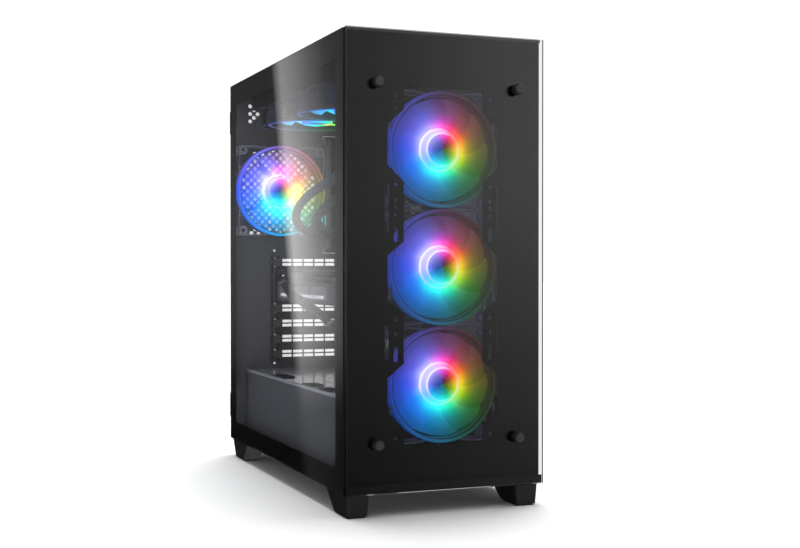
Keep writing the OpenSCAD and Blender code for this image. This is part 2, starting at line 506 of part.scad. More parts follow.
module gpu_heatsink() color([0.5, 0.5, 0.52]) {
  bx(-42, 48, 2, 204, 232, 235.4);
  for (i = [0:19]) bx(-42, 48, 4 + i * 10.2, 6 + i * 10.2, 219, 232 + e);
  bx(-15, 25, 78, 118, 235.3, 238);
}
module gpu_shroud() color([0.05, 0.05, 0.05]) difference() {
  bx(gpu_x0, gpu_x1 - 2, gpu_y0, 206, 203, 228.6);
  bx(gpu_x0 + 3, gpu_x1 - 5, gpu_y0 + 3, 210, 206, 230);
  for (f = gpu_fan) translate([f[0], f[1], 200]) cylinder(r = 44.5, h = 10, $fn = 96);
}
module gpu_rotor() fan_rotor_shape(43.4, 16, 11, 0, 12, 48);
module gpu_fan_rotor_1() color([0.1, 0.1, 0.1]) face_down(gpu_fan[0][0], gpu_fan[0][1], 216) gpu_rotor();
module gpu_fan_rotor_2() color([0.1, 0.1, 0.1]) face_down(gpu_fan[1][0], gpu_fan[1][1], 216) gpu_rotor();

// ---------- power supply ----------
module psu_case() color([0.09, 0.09, 0.09]) {
  difference() {
    bx(psu_x0, psu_x1, psu_y0, y_rf, psu_z0, psu_z1);
    bx(psu_x0 + 1.2, psu_x1 - 1.2, psu_y0 + 1.2, y_rf - 1.2, psu_z0 + 1.2, psu_z1 - 1.2);
    // fan opening in the base, leaving a ring-and-spoke guard
    difference() {
      translate([psu_fan[0], psu_fan[1], psu_z0 - 1]) cylinder(r = 58, h = 3, $fn = 96);
      for (r = [14, 30, 46]) translate([psu_fan[0], psu_fan[1], psu_z0 - 2]) difference() { cylinder(r = r + 2, h = 5); translate([0, 0, -1]) cylinder(r = r, h = 8); }
      for (a = [0:45:135]) translate([psu_fan[0], psu_fan[1], psu_z0]) rotate([0, 0, a + 20]) cube([120, 2.4, 6], center = true);
      translate([psu_fan[0], psu_fan[1], psu_z0 - 2]) cylinder(r = 13, h = 8);
    }
    // vents in the rear face
    for (i = [0:6], j = [0:5]) bx(-40 + i * 13, -30 + i * 13, y_rf - 3, y_rf + 1, 34 + j * 11, 42 + j * 11);
    // openings for the inlet and the switch
    bx(psu_inlet_x - 14.2, psu_inlet_x + 14.2, y_rf - 3, y_rf + 1, psu_inlet_z - 11.2, psu_inlet_z + 11.2);
    bx(psu_sw_x - 10.7, psu_sw_x + 10.7, y_rf - 3, y_rf + 1, psu_sw_z - 7.2, psu_sw_z + 7.2);
    // cable outlet at the front
    bx(58, 86, psu_y0 - 1, psu_y0 + 3, 58, 86);
  }
  // fan motor stand
  translate([psu_fan[0], psu_fan[1], 0]) {
    difference() { translate([0, 0, 45]) cylinder(r = 4, h = 7); translate([0, 0, 40]) cylinder(r = 1.56, h = 10); }
    for (a = [45, 135]) rotate([0, 0, a]) translate([0, 0, 51]) cube([130, 6, 2], center = true);
  }
  for (a = [45:90:315]) translate([psu_fan[0] + 62 * cos(a), psu_fan[1] + 62 * sin(a), psu_z0 + 1]) cylinder(r = 3, h = 27);
  // circuit board and its tall components
  bx(psu_x0 + 3, psu_x1 - 3, psu_y0 + 4, 200, 102, 104);
  bx(psu_x0 + 1, psu_x0 + 4, psu_y0 + 4, 200, 101, 105);
  bx(-30, -10, 100, 180, 62, 102 + e);
  bx(30, 66, 110, 140, 70, 102 + e);
}
module psu_fan_rotor() color([0.06, 0.06, 0.06]) face_down(psu_fan[0], psu_fan[1], 47) fan_rotor_shape(55, 20, 7, 1, 18.5, 50);
module psu_inlet() color([0.04, 0.04, 0.04]) {
  difference() {
    union() {
      bx(psu_inlet_x - 14, psu_inlet_x + 14, y_rf - 19, y_rf + 0.2, psu_inlet_z - 11, psu_inlet_z + 11);
      bx(psu_inlet_x - 15, psu_inlet_x + 15, y_rf, y_rf + 2, psu_inlet_z - 12, psu_inlet_z + 12);
    }
    bx(psu_inlet_x - 12.5, psu_inlet_x + 12.5, y_rf - 16, y_rf + 4, psu_inlet_z - 9, psu_inlet_z + 9);
  }
  for (p = [[-7, -1], [7, -1], [0, 3]]) bx(psu_inlet_x + p[0] - 1, psu_inlet_x + p[0] + 1, y_rf - 17, y_rf - 5.5, psu_inlet_z + p[1] - 2, psu_inlet_z + p[1] + 2);
  // switch bezel
  difference() {
    union() {
      bx(psu_sw_x - 10.5, psu_sw_x + 10.5, y_rf - 12, y_rf + 0.2, psu_sw_z - 7, psu_sw_z + 7);
      bx(psu_sw_x - 12, psu_sw_x + 12, y_rf, y_rf + 1.6, psu_sw_z - 8.5, psu_sw_z + 8.5);
    }
    bx(psu_sw_x - 9.5, psu_sw_x + 9.5, y_rf - 10, y_rf + 4, psu_sw_z - 6, psu_sw_z + 6);
  }
}
module psu_switch() color([0.03, 0.03, 0.03]) intersection() {
  union() {
    plate_xy(psu_sw_z - 5.5, 11) polygon([[psu_sw_x - 8.8, y_rf - 3], [psu_sw_x - 8.8, y_rf + 0.5], [psu_sw_x, y_rf + 1.1], [psu_sw_x + 8, y_rf + 3.5], [psu_sw_x + 8.8, y_rf - 1.2], [psu_sw_x + 2, y_rf - 6], [psu_sw_x - 2, y_rf - 6]]);
    // pivot stubs
    translate([psu_sw_x, y_rf - 1, psu_sw_z - 5.9]) cylinder(r = 1.2, h = 11.8);
  }
  translate([psu_sw_x, y_rf - 1, psu_sw_z - 6]) cylinder(r = 9.3, h = 12);
}

// ---------- internal leads ----------
gpu_lead = smooth([[-58, 96, 233], [-68, 94, 232], [-75, 86, 226], [-74, 70, 216], [-66, 46, 207], [-60, 19, 198], [-56, -5, 190], [-49, -28, 177], [-36, -50, 165], [-4, -62, 158], [36, -57, 158], [62, -48, 160], [80, -38, 157], [89, -24, 146], [91, -4, 128], [89, 14, 110], [84, 32, 95], [76, 50, 83], [69, 66, 77], [68, 84, 76]], 3);
board_lead = smooth([[50, -14, 326], [43, -19, 326], [40, -29, 327], [47, -39, 329], [63, -42, 330], [84, -42, 329], [93, -36, 300], [94, -8, 228], [94, 28, 160], [93, 46, 125], [93, 51, 104], [92, 57, 87], [86, 67, 71], [79, 77, 65.5], [78.5, 84, 65]], 3);
module gpu_power_cable() color([0.03, 0.03, 0.03]) { sweep(gpu_lead, 7.8, 10); bx(-66, gpu_x0 - 1, 86, 106, 225.6, 240); }
module board_power_cable() color([0.03, 0.03, 0.03]) { sweep(board_lead, 5, 8); bx(50, board_x - 10, -19, -9, 301, 351); }

floor_pan();
rear_panel();
front_plate();
board_tray();
roof_plate();
psu_shroud();
shroud_grommets();
drive_cage();
hard_drive();
feet();
foot_pads();
slot_covers();
slot_screws();
glass_standoffs();
glass_knobs();
front_glass();
door_hinge_lugs();
door_magnets();
door_glass();
door_frame();
door_knuckles();
door_pull_tab();
right_side_panel();
panel_thumbscrews();
control_pod();
power_button();
reset_button();
usb_sockets();
psu_dust_filter();
roof_dust_filter();
front_fan_frame_1();
front_fan_frame_2();
front_fan_frame_3();
front_fan_rotor_1();
front_fan_rotor_2();
front_fan_rotor_3();
rear_fan_frame();
rear_fan_rotor();
roof_fan_frame_1();
roof_fan_frame_2();
roof_fan_rotor_1();
roof_fan_rotor_2();
radiator();
coolant_tubes();
pump_block();
motherboard();
board_heatsinks();
memory_sticks();
rear_ports();
gpu_card();
gpu_heatsink();
gpu_shroud();
gpu_fan_rotor_1();
gpu_fan_rotor_2();
psu_case();
psu_fan_rotor();
psu_inlet();
psu_switch();
gpu_power_cable();
board_power_cable();
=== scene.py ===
# Desktop computer tower: materials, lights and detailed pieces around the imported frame.
import bpy, bmesh, math
from mathutils import Vector, Matrix


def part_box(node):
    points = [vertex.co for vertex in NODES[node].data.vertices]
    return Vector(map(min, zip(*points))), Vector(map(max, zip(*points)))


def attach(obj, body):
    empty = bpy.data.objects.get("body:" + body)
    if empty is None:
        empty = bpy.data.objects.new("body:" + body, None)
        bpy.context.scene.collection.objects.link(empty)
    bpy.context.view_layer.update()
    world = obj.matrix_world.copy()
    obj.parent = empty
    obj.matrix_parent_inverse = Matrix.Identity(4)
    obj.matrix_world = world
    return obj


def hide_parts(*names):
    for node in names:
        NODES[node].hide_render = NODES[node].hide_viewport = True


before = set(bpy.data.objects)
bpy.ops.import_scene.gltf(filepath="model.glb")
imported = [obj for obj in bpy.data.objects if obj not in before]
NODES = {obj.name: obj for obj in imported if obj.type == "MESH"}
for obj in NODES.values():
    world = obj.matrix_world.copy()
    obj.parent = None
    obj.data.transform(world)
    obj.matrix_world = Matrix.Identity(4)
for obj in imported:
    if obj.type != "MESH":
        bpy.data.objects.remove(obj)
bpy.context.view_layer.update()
MM = 0.001


# ------------------------------------------------------------------ helpers
def lin(c):
    return tuple(((v + 0.055) / 1.055) ** 2.4 if v > 0.04045 else v / 12.92 for v in c)


def hexc(h):
    return lin(tuple(int(h[i:i + 2], 16) / 255 for i in (0, 2, 4)))


class Mat:
    """One Principled material with procedural colour, roughness and bump."""

    def __init__(self, name, base, rough=0.5, metal=0.0, spec=0.5, **inputs):
        self.m = bpy.data.materials.new(name)
        self.m.use_nodes = True
        self.nt = self.m.node_tree
        self.p = self.nt.nodes["Principled BSDF"]
        self.out = self.nt.nodes["Material Output"]
        self.set("Base Color", (*base, 1))
        self.set("Roughness", rough)
        self.set("Metallic", metal)
        self.set("Specular IOR Level", spec)
        for k, v in inputs.items():
            self.set(k.replace("_", " "), v)
        self.tc = None

    def set(self, socket, value):
        self.p.inputs[socket].default_value = value

    def node(self, kind, **props):
        n = self.nt.nodes.new(kind)
        for k, v in props.items():
            if k in n.inputs.keys():
                n.inputs[k].default_value = v
            else:
                setattr(n, k, v)
        return n

    def link(self, a, b):
        self.nt.links.new(a, b)

    def coords(self):
        if self.tc is None:
            self.tc = self.node("ShaderNodeTexCoord")
        return self.tc.outputs["Object"]

    def noise(self, scale, detail=3.0, rough=0.55, stretch=None):
        n = self.node("ShaderNodeTexNoise", Scale=scale, Detail=detail, Roughness=rough)
        src = self.coords()
        if stretch:
            mp = self.node("ShaderNodeMapping")
            mp.inputs["Scale"].default_value = stretch
            self.link(src, mp.inputs["Vector"])
            src = mp.outputs["Vector"]
        self.link(src, n.inputs["Vector"])
        return n.outputs["Fac"]

    def maprange(self, src, a, b, lo=0.3, hi=0.7):
        n = self.node("ShaderNodeMapRange")
        n.inputs["From Min"].default_value = lo
        n.inputs["From Max"].default_value = hi
        n.inputs["To Min"].default_value = a
        n.inputs["To Max"].default_value = b
        self.link(src, n.inputs["Value"])
        return n.outputs["Result"]

    def mixcol(self, fac, a, b, mode="MIX"):
        n = self.node("ShaderNodeMix", data_type="RGBA", blend_type=mode)
        for sock, v in ((n.inputs[0], fac), (n.inputs[6], a), (n.inputs[7], b)):
            if isinstance(v, bpy.types.NodeSocket):
                self.link(v, sock)
            elif isinstance(v, (int, float)):
                sock.default_value = v
            else:
                sock.default_value = (*v, 1)
        return n.outputs[2]

    def math(self, op, a, b=0.0, c=None, clamp=False):
        n = self.node("ShaderNodeMath", operation=op, use_clamp=clamp)
        for i, v in enumerate((a, b) if c is None else (a, b, c)):
            if isinstance(v, bpy.types.NodeSocket):
                self.link(v, n.inputs[i])
            else:
                n.inputs[i].default_value = v
        return n.outputs[0]

    def ramp(self, src, stops, interp="LINEAR"):
        n = self.node("ShaderNodeValToRGB")
        n.color_ramp.interpolation = interp
        el = n.color_ramp.elements
        while len(el) > 1:
            el.remove(el[-1])
        for i, (pos, col) in enumerate(sorted(stops, key=lambda s: s[0])):
            e = el[0] if i == 0 else el.new(min(max(pos, 0.0), 1.0))
            e.position = min(max(pos, 0.0), 1.0)
            e.color = (*col, 1) if len(col) == 3 else col
        self.link(src, n.inputs["Fac"])
        return n.outputs["Color"]

    def vary(self, a, b, scale, rough=None, rscale=None, stretch=None):
        """colour wanders from a to b; roughness from rough[0] to rough[1]"""
        self.link(self.mixcol(self.maprange(self.noise(scale, stretch=stretch), 0, 1), a, b), self.p.inputs["Base Color"])
        if rough:
            self.link(self.maprange(self.noise(rscale or scale * 1.7, 4.0, stretch=stretch), *rough), self.p.inputs["Roughness"])
        return self

    def bump(self, scale, strength, distance, detail=2.0, stretch=None, src=None):
        n = self.node("ShaderNodeBump", Strength=strength, Distance=distance)
        self.link(src or self.noise(scale, detail, stretch=stretch), n.inputs["Height"])
        self.link(n.outputs["Normal"], self.p.inputs["Normal"])
        return self


def powder(name, a, b, rough=(0.42, 0.56), spec=0.5):
    m = Mat(name, a, 0.5, spec=spec).vary(a, b, 420, rough, 700)
    return m.bump(1500, 0.2, 0.00006, 3.0)


def plastic(name, a, b, rough=(0.3, 0.42), grain=2200, strength=0.12, spec=0.5):
    return Mat(name, a, 0.4, spec=spec).vary(a, b, 60, rough, 120).bump(grain, strength, 0.00004)


def metal(name, a, b, rough=(0.22, 0.34), stretch=(1, 1, 14), scale=160):
    m = Mat(name, a, 0.3, 1.0).vary(a, b, scale, rough, scale * 2, stretch)
    return m.bump(scale * 6, 0.08, 0.00003, 2.0, stretch)


class B:
    """Collects closed shells in millimetres, then makes one object in metres."""

    def __init__(self):
        self.bm = bmesh.new()
        self.lay = None

    def _finish(self, verts, bevel, seg, mat):
        faces = list({f for v in verts for f in v.link_faces})
        for f in faces:
            f.material_index = mat
        if bevel > 0:
            edges = list({e for f in faces for e in f.edges if len(e.link_faces) == 2 and e.calc_face_angle(0) > 0.5})
            r = bmesh.ops.bevel(self.bm, geom=edges, offset=bevel, segments=seg, profile=0.6, affect="EDGES", clamp_overlap=True)
            for f in r["faces"]:
                f.material_index = mat

    def box(self, x0, x1, y0, y1, z0, z1, bevel=0.0, seg=2, mat=0, m=None):
        r = bmesh.ops.create_cube(self.bm, size=1.0)
        for v in r["verts"]:
            v.co = Vector(((x0 + x1) / 2 + v.co.x * (x1 - x0), (y0 + y1) / 2 + v.co.y * (y1 - y0), (z0 + z1) / 2 + v.co.z * (z1 - z0)))
            if m:
                v.co = m @ v.co
        self._finish(r["verts"], bevel, seg, mat)
        return self

    def prism(self, pts, lo, hi, plane="xy", bevel=0.0, seg=2, mat=0, m=None):
        """closed outline pts extruded along the third axis"""
        put = {"xy": lambda p, h: (p[0], p[1], h), "xz": lambda p, h: (p[0], h, p[1]), "yz": lambda p, h: (h, p[0], p[1])}[plane]
        a = [self.bm.verts.new(put(p, lo)) for p in pts]
        b = [self.bm.verts.new(put(p, hi)) for p in pts]
        n = len(pts)
        fs = [self.bm.faces.new(a), self.bm.faces.new(list(reversed(b)))]
        for i in range(n):
            j = (i + 1) % n
            fs.append(self.bm.faces.new((a[j], a[i], b[i], b[j])))
        bmesh.ops.recalc_face_normals(self.bm, faces=fs)
        if m:
            for v in a + b:
                v.co = m @ v.co
        self._finish(a + b, bevel, seg, mat)
        return self

    def lathe(self, prof, n=48, m=None, mat=0, a0=0.0):
        """closed or axis-touching profile [(r, z), ...] turned about z"""
        rings = []
        for r, z in prof:
            if r < 1e-6:
                rings.append([self.bm.verts.new((0, 0, z))])
            else:
                rings.append([self.bm.verts.new((r * math.cos(a0 + 2 * math.pi * k / n), r * math.sin(a0 + 2 * math.pi * k / n), z)) for k in range(n)])
        closed = not (len(rings[0]) == 1 and len(rings[-1]) == 1)
        pairs = list(zip(rings, rings[1:])) + ([(rings[-1], rings[0])] if closed else [])
        fs = []
        for u, v in pairs:
            for k in range(n):
                j = (k + 1) % n
                if len(u) == 1 and len(v) == 1:
                    break
                if len(u) == 1:
                    fs.append(self.bm.faces.new((u[0], v[j], v[k])))
                elif len(v) == 1:
                    fs.append(self.bm.faces.new((u[k], u[j], v[0])))
                else:
                    fs.append(self.bm.faces.new((u[k], u[j], v[j], v[k])))
        for f in fs:
            f.material_index = mat
        bmesh.ops.recalc_face_normals(self.bm, faces=fs)
        if m:
            for v in {v for ring in rings for v in ring}:
                v.co = m @ v.co
        return self

    def rod(self, p0, p1, r, n=24, mat=0, chamfer=0.0):
        p0, p1 = Vector(p0), Vector(p1)
        d = p1 - p0
        m = Matrix.Translation(p0) @ d.to_track_quat("Z", "Y").to_matrix().to_4x4()
        L, c = d.length, chamfer
        prof = [(0, 0), (r - c, 0), (r, c), (r, L - c), (r - c, L), (0, L)] if c else [(0, 0), (r, 0), (r, L), (0, L)]
        return self.lathe(prof, n, m, mat)

    def tube(self, pts, r, n=14, mat=0, radii=None):
        pts = [Vector(p) for p in pts]
        rings, u = [], None
        for i, p in enumerate(pts):
            t = (pts[min(i + 1, len(pts) - 1)] - pts[max(i - 1, 0)]).normalized()
            if u is None:
                u = t.orthogonal().normalized()
            u = (u - t * u.dot(t)).normalized()
            v = t.cross(u)
            rr = radii[i] if radii else r
            rings.append([self.bm.verts.new(p + rr * (math.cos(2 * math.pi * k / n) * u + math.sin(2 * math.pi * k / n) * v)) for k in range(n)])
        fs = [self.bm.faces.new(list(reversed(rings[0]))), self.bm.faces.new(rings[-1])]
        for a, b in zip(rings, rings[1:]):
            for k in range(n):
                j = (k + 1) % n
                fs.append(self.bm.faces.new((a[k], a[j], b[j], b[k])))
        for f in fs:
            f.material_index = mat
        return self

    def grid(self, top, bottom, mat=0):
        """closed sheet between two equal grids of points (lists of rows)"""
        def rows(g):
            return [[self.bm.verts.new(p) for p in row] for row in g]
        a, b = rows(top), rows(bottom)
        nu, nv = len(a), len(a[0])
        fs = []
        for i in range(nu - 1):
            for j in range(nv - 1):
                fs.append(self.bm.faces.new((a[i][j], a[i + 1][j], a[i + 1][j + 1], a[i][j + 1])))
                fs.append(self.bm.faces.new((b[i][j], b[i][j + 1], b[i + 1][j + 1], b[i + 1][j])))
        rim = [(i, 0) for i in range(nu)] + [(nu - 1, j) for j in range(1, nv)] + [(i, nv - 1) for i in range(nu - 2, -1, -1)] + [(0, j) for j in range(nv - 2, 0, -1)]
        for k in range(len(rim)):
            p, q = rim[k], rim[(k + 1) % len(rim)]
            fs.append(self.bm.faces.new((a[q[0]][q[1]], a[p[0]][p[1]], b[p[0]][p[1]], b[q[0]][q[1]])))
        for f in fs:
            f.material_index = mat
        bmesh.ops.recalc_face_normals(self.bm, faces=fs)
        return self

    def make(self, name, mats, body, nodes=(), matrix=None, smooth=35):
        me = bpy.data.meshes.new(name)
        self.bm.to_mesh(me)
        self.bm.free()
        me.transform(Matrix.Scale(MM, 4))
        for mt in mats if isinstance(mats, (list, tuple)) else [mats]:
            me.materials.append(mt.m if isinstance(mt, Mat) else mt)
        ob = bpy.data.objects.new(name, me)
        bpy.context.scene.collection.objects.link(ob)
        if matrix is not None:
            ob.matrix_world = matrix
        if smooth:
            me.shade_smooth()
            me.set_sharp_from_angle(angle=math.radians(smooth))
        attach(ob, body)
        if nodes:
            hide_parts(*nodes)
        return ob


def arc_pts(cx, cy, r, a0, a1, n):
    return [(cx + r * math.cos(math.radians(a0 + (a1 - a0) * i / n)), cy + r * math.sin(math.radians(a0 + (a1 - a0) * i / n))) for i in range(n + 1)]


def smooth_path(p, m):
    out = []
    for i in range(len(p) - 1):
        a, b, c, d = (Vector(p[max(i - 1, 0)]), Vector(p[i]), Vector(p[i + 1]), Vector(p[min(i + 2, len(p) - 1)]))
        for j in range(m):
            t = j / m
            out.append(0.5 * (2 * b + (c - a) * t + (2 * a - 5 * b + 4 * c - d) * t * t + (3 * b - a - 3 * c + d) * t ** 3))
    return out + [Vector(p[-1])]


# ------------------------------------------------------------------ materials
steel = powder("powder_black", (0.0105, 0.0105, 0.0112), (0.0155, 0.0155, 0.0165))


def two_sided_inner_lit(name, axis, out, inn):
    """powder coat whose inward face is painted lighter: painted light standing in for the light inside the case"""
    m = powder(name, *out)
    ge = m.node("ShaderNodeNewGeometry")
    sp = m.node("ShaderNodeSeparateXYZ")
    m.link(ge.outputs["True Normal"], sp.inputs[0])
    fac = m.maprange(sp.outputs["XYZ".index(axis[1])], 0.0, 1.0, 0.4, 0.6) if axis[0] == "+" else m.maprange(sp.outputs["XYZ".index(axis[1])], 1.0, 0.0, -0.6, -0.4)
    m.link(m.mixcol(fac, m.mixcol(m.maprange(m.noise(420), 0, 1), *out), m.mixcol(m.maprange(m.noise(420), 0, 1), *inn)), m.p.inputs["Base Color"])
    return m


# lighter inner-face colours: painted light for the inside of the case
INNER_LIT_A, INNER_LIT_B = (0.046, 0.046, 0.050), (0.060, 0.060, 0.066)
# board tray: lighter than the outer powder as painted light inside the case, and darker towards the front end as
# painted shade
tray_powder_lit = powder("powder_inner_painted_light", (0.034, 0.034, 0.037), (0.046, 0.046, 0.050), (0.5, 0.62))
_tray_depth = tray_powder_lit.node("ShaderNodeSeparateXYZ")
tray_powder_lit.link(tray_powder_lit.coords(), _tray_depth.inputs[0])
tray_powder_lit.link(tray_powder_lit.mixcol(tray_powder_lit.maprange(_tray_depth.outputs[1], 0.0, 1.0, -0.17, -0.09), (0.010, 0.010, 0.011), tray_powder_lit.mixcol(tray_powder_lit.maprange(tray_powder_lit.noise(35), 0, 1), (0.034, 0.034, 0.037), (0.046, 0.046, 0.050))), tray_powder_lit.p.inputs["Base Color"])
# shroud powder: upward faces get a light grey colour as painted sheen, with low roughness; the dark dots on them are
# the perforation
shroud_lit_top_m = Mat("powder_shroud", (0.04, 0.04, 0.044), 0.4, spec=0.5, IOR=1.8)
_ge = shroud_lit_top_m.node("ShaderNodeNewGeometry")
_sp = shroud_lit_top_m.node("ShaderNodeSeparateXYZ")
shroud_lit_top_m.link(_ge.outputs["True Normal"], _sp.inputs[0])
_lit_top = shroud_lit_top_m.maprange(_sp.outputs[2], 0.0, 1.0, 0.4, 0.6)
_sc = shroud_lit_top_m.node("ShaderNodeSeparateXYZ")
shroud_lit_top_m.link(shroud_lit_top_m.coords(), _sc.inputs[0])
_u = [shroud_lit_top_m.math("ABSOLUTE", shroud_lit_top_m.math("SUBTRACT", shroud_lit_top_m.math("FRACT", shroud_lit_top_m.math("MULTIPLY", _sc.outputs[_k], 250.0)), 0.5)) for _k in (0, 1)]
_dot = shroud_lit_top_m.math("MULTIPLY", shroud_lit_top_m.math("LESS_THAN", _u[0], 0.27), shroud_lit_top_m.math("LESS_THAN", _u[1], 0.34))
_dot = shroud_lit_top_m.math("MULTIPLY", _dot, _lit_top)
_wall = shroud_lit_top_m.mixcol(shroud_lit_top_m.maprange(shroud_lit_top_m.noise(35), 0, 1), (0.028, 0.0285, 0.032), (0.035, 0.0355, 0.040))
shroud_lit_top_m.link(shroud_lit_top_m.mixcol(_dot, shroud_lit_top_m.mixcol(_lit_top, _wall, (0.2, 0.2, 0.208)), (0.02, 0.02, 0.021)), shroud_lit_top_m.p.inputs["Base Color"])
shroud_lit_top_m.link(shroud_lit_top_m.mixcol(_lit_top, (0.52, 0.52, 0.52), (0.17, 0.17, 0.17)), shroud_lit_top_m.p.inputs["Roughness"])
abs_m = plastic("abs_black", (0.011, 0.011, 0.012), (0.017, 0.017, 0.018))
foot_m = plastic("foot_plastic", (0.010, 0.010, 0.0105), (0.017, 0.017, 0.018), (0.34, 0.5), 1800, 0.2)
rubber = plastic("rubber", (0.012, 0.012, 0.012), (0.02, 0.02, 0.02), (0.65, 0.8), 900, 0.35, 0.3)
knob_m = plastic("knob_plastic", (0.016, 0.016, 0.017), (0.024, 0.024, 0.026), (0.42, 0.55), 1400, 0.25)
frit = Mat("glass_border_print", (0.008, 0.008, 0.0085), 0.32, spec=0.35).vary((0.0075, 0.0075, 0.008), (0.0095, 0.0095, 0.01), 40, (0.28, 0.38), 300)
frit.bump(500, 0.012, 0.00002)
zinc = metal("zinc_screw", (0.46, 0.46, 0.47), (0.6, 0.6, 0.61), (0.25, 0.4))
alu = metal("brushed_aluminium", (0.5, 0.51, 0.52), (0.64, 0.64, 0.66))
alu_dark = metal("dark_aluminium", (0.05, 0.05, 0.055), (0.085, 0.085, 0.09), (0.32, 0.46))
nickel = metal("nickel", (0.55, 0.53, 0.48), (0.66, 0.64, 0.6), (0.18, 0.3))
gold = metal("gold_contact", (0.72, 0.52, 0.2), (0.82, 0.6, 0.26), (0.2, 0.3))
copper = metal("copper", (0.62, 0.3, 0.18), (0.72, 0.38, 0.24), (0.25, 0.4))
black_metal = metal("black_screw", (0.035, 0.035, 0.038), (0.06, 0.06, 0.065), (0.3, 0.45))
fin_m = metal("radiator_fin", (0.025, 0.025, 0.027), (0.05, 0.05, 0.055), (0.35, 0.5))

pcb = Mat("circuit_board", (0.012, 0.013, 0.015), 0.42, spec=0.5)
_tr = pcb.node("ShaderNodeTexBrick", Scale=1.0)
_tr.offset = 0.37
_tr.inputs["Color1"].default_value = (0.010, 0.011, 0.013, 1)
_tr.inputs["Color2"].default_value = (0.017, 0.018, 0.021, 1)
_tr.inputs["Mortar"].default_value = (0.030, 0.031, 0.034, 1)
_tr.inputs["Mortar Size"].default_value = 0.00035
_tr.inputs["Brick Width"].default_value = 0.021
_tr.inputs["Row Height"].default_value = 0.0027
_mp = pcb.node("ShaderNodeMapping")
_mp.inputs["Rotation"].default_value = (0, math.radians(90), math.radians(90))
pcb.link(pcb.coords(), _mp.inputs["Vector"])
pcb.link(_mp.outputs["Vector"], _tr.inputs["Vector"])
pcb.link(pcb.mixcol(pcb.maprange(pcb.noise(45), 0, 0.6), _tr.outputs["Color"], (0.012, 0.012, 0.014)), pcb.p.inputs["Base Color"])
pcb.link(pcb.maprange(pcb.noise(300), 0.32, 0.5), pcb.p.inputs["Roughness"])
pcb.bump(0, 0.2, 0.00004, src=_tr.outputs["Fac"])

sleeve = Mat("braided_sleeve", (0.012, 0.012, 0.013), 0.7, spec=0.3)
_w = [sleeve.node("ShaderNodeTexWave", Scale=420.0, bands_direction="DIAGONAL") for _ in (0, 1)]
for _i, _n in enumerate(_w):
    _mp = sleeve.node("ShaderNodeMapping")
    _mp.inputs["Scale"].default_value = (1, 1 - 2 * _i, 1)
    sleeve.link(sleeve.coords(), _mp.inputs["Vector"])
    sleeve.link(_mp.outputs["Vector"], _n.inputs["Vector"])
_h = sleeve.math("MULTIPLY", _w[0].outputs["Fac"], _w[1].outputs["Fac"])
sleeve.link(sleeve.mixcol(_h, (0.004, 0.004, 0.0045), (0.020, 0.020, 0.023)), sleeve.p.inputs["Base Color"])
sleeve.bump(0, 0.6, 0.0004, src=_h)
sleeve.set("Sheen Weight", 0.06)
sleeve.set("Sheen Roughness", 0.5)

tube_m = Mat("rubber_hose", (0.010, 0.010, 0.011), 0.38, spec=0.5).vary((0.009, 0.009, 0.01), (0.014, 0.014, 0.015), 90, (0.3, 0.42), 200)
tube_m.bump(1300, 0.2, 0.00005)
mesh_m = plastic("filter_mesh", (0.014, 0.014, 0.015), (0.022, 0.022, 0.024), (0.55, 0.7), 700, 0.5)
label_m = plastic("matte_cover", (0.02, 0.02, 0.021), (0.03, 0.03, 0.032), (0.5, 0.6))
port_blue = plastic("port_tongue", (0.02, 0.09, 0.35), (0.03, 0.12, 0.42), (0.3, 0.4))
port_dark = plastic("port_inner", (0.006, 0.006, 0.006), (0.01, 0.01, 0.01), (0.4, 0.5))
white_plastic = plastic("white_connector", (0.5, 0.5, 0.48), (0.6, 0.6, 0.57), (0.35, 0.5))


def glass(name, tint, shadow, streak=0.012):
    g = Mat(name, tint, 0.0, spec=0.5, IOR=1.45)
    g.set("Transmission Weight", 1.0)
    g.link(g.maprange(g.noise(9, 4.0), 0.0, streak, 0.45, 0.8), g.p.inputs["Roughness"])
    lp = g.node("ShaderNodeLightPath")
    tr = g.node("ShaderNodeBsdfTransparent")
    tr.inputs["Color"].default_value = (*shadow, 1)
    mx = g.node("ShaderNodeMixShader")
    g.link(lp.outputs["Is Shadow Ray"], mx.inputs["Fac"])
    g.link(g.p.outputs["BSDF"], mx.inputs[1])
    g.link(tr.outputs["BSDF"], mx.inputs[2])
    g.link(mx.outputs["Shader"], g.out.inputs["Surface"])
    return g


front_glass_m = glass("tinted_front_glass", (0.74, 0.745, 0.735), (0.52, 0.53, 0.51), 0.006)
door_glass_m = glass("tinted_door_glass", (0.86, 0.865, 0.865), (0.72, 0.73, 0.73), 0.004)


# ------------------------------------------------------------------ fan light
# clockwise degrees from the top, seen from the side that faces the room
NEAR = [(0, "FF58E8"), (30, "FF2070"), (60, "FF6810"), (90, "F0D000"), (120, "A0E000"), (150, "00F098"), (180, "00FFF0"), (210, "00E8FF"),
        (240, "00B0FF"), (270, "7888FF"), (300, "A0A0FF"), (330, "B0A0FF")]
FAR = [(0, "583068"), (30, "682840"), (60, "603820"), (90, "505000"), (120, "205C10"), (150, "006048"), (180, "006888"), (210, "0064B0"),
       (240, "0054C0"), (270, "2040C0"), (300, "4040B0"), (330, "4848A8")]
WHITE = [(0, 0.6), (30, 0.16), (60, 0.12), (90, 0.2), (120, 0.34), (150, 0.26), (180, 0.14), (215, 0.14), (240, 0.36), (265, 0.8), (300, 0.95), (330, 0.9)]
NEAR_ROOF = [(0, "20C0E8"), (45, "30E0A0"), (90, "F0D020"), (135, "30E090"), (180, "00E8F0"), (225, "20B0FF"), (270, "5060F0"), (315, "2090F0")]
FAR_ROOF = [(0, "1890C0"), (45, "40C080"), (90, "E0B010"), (135, "60D040"), (180, "10C0C0"), (225, "2080C8"), (270, "2838A8"), (315, "2070C0")]
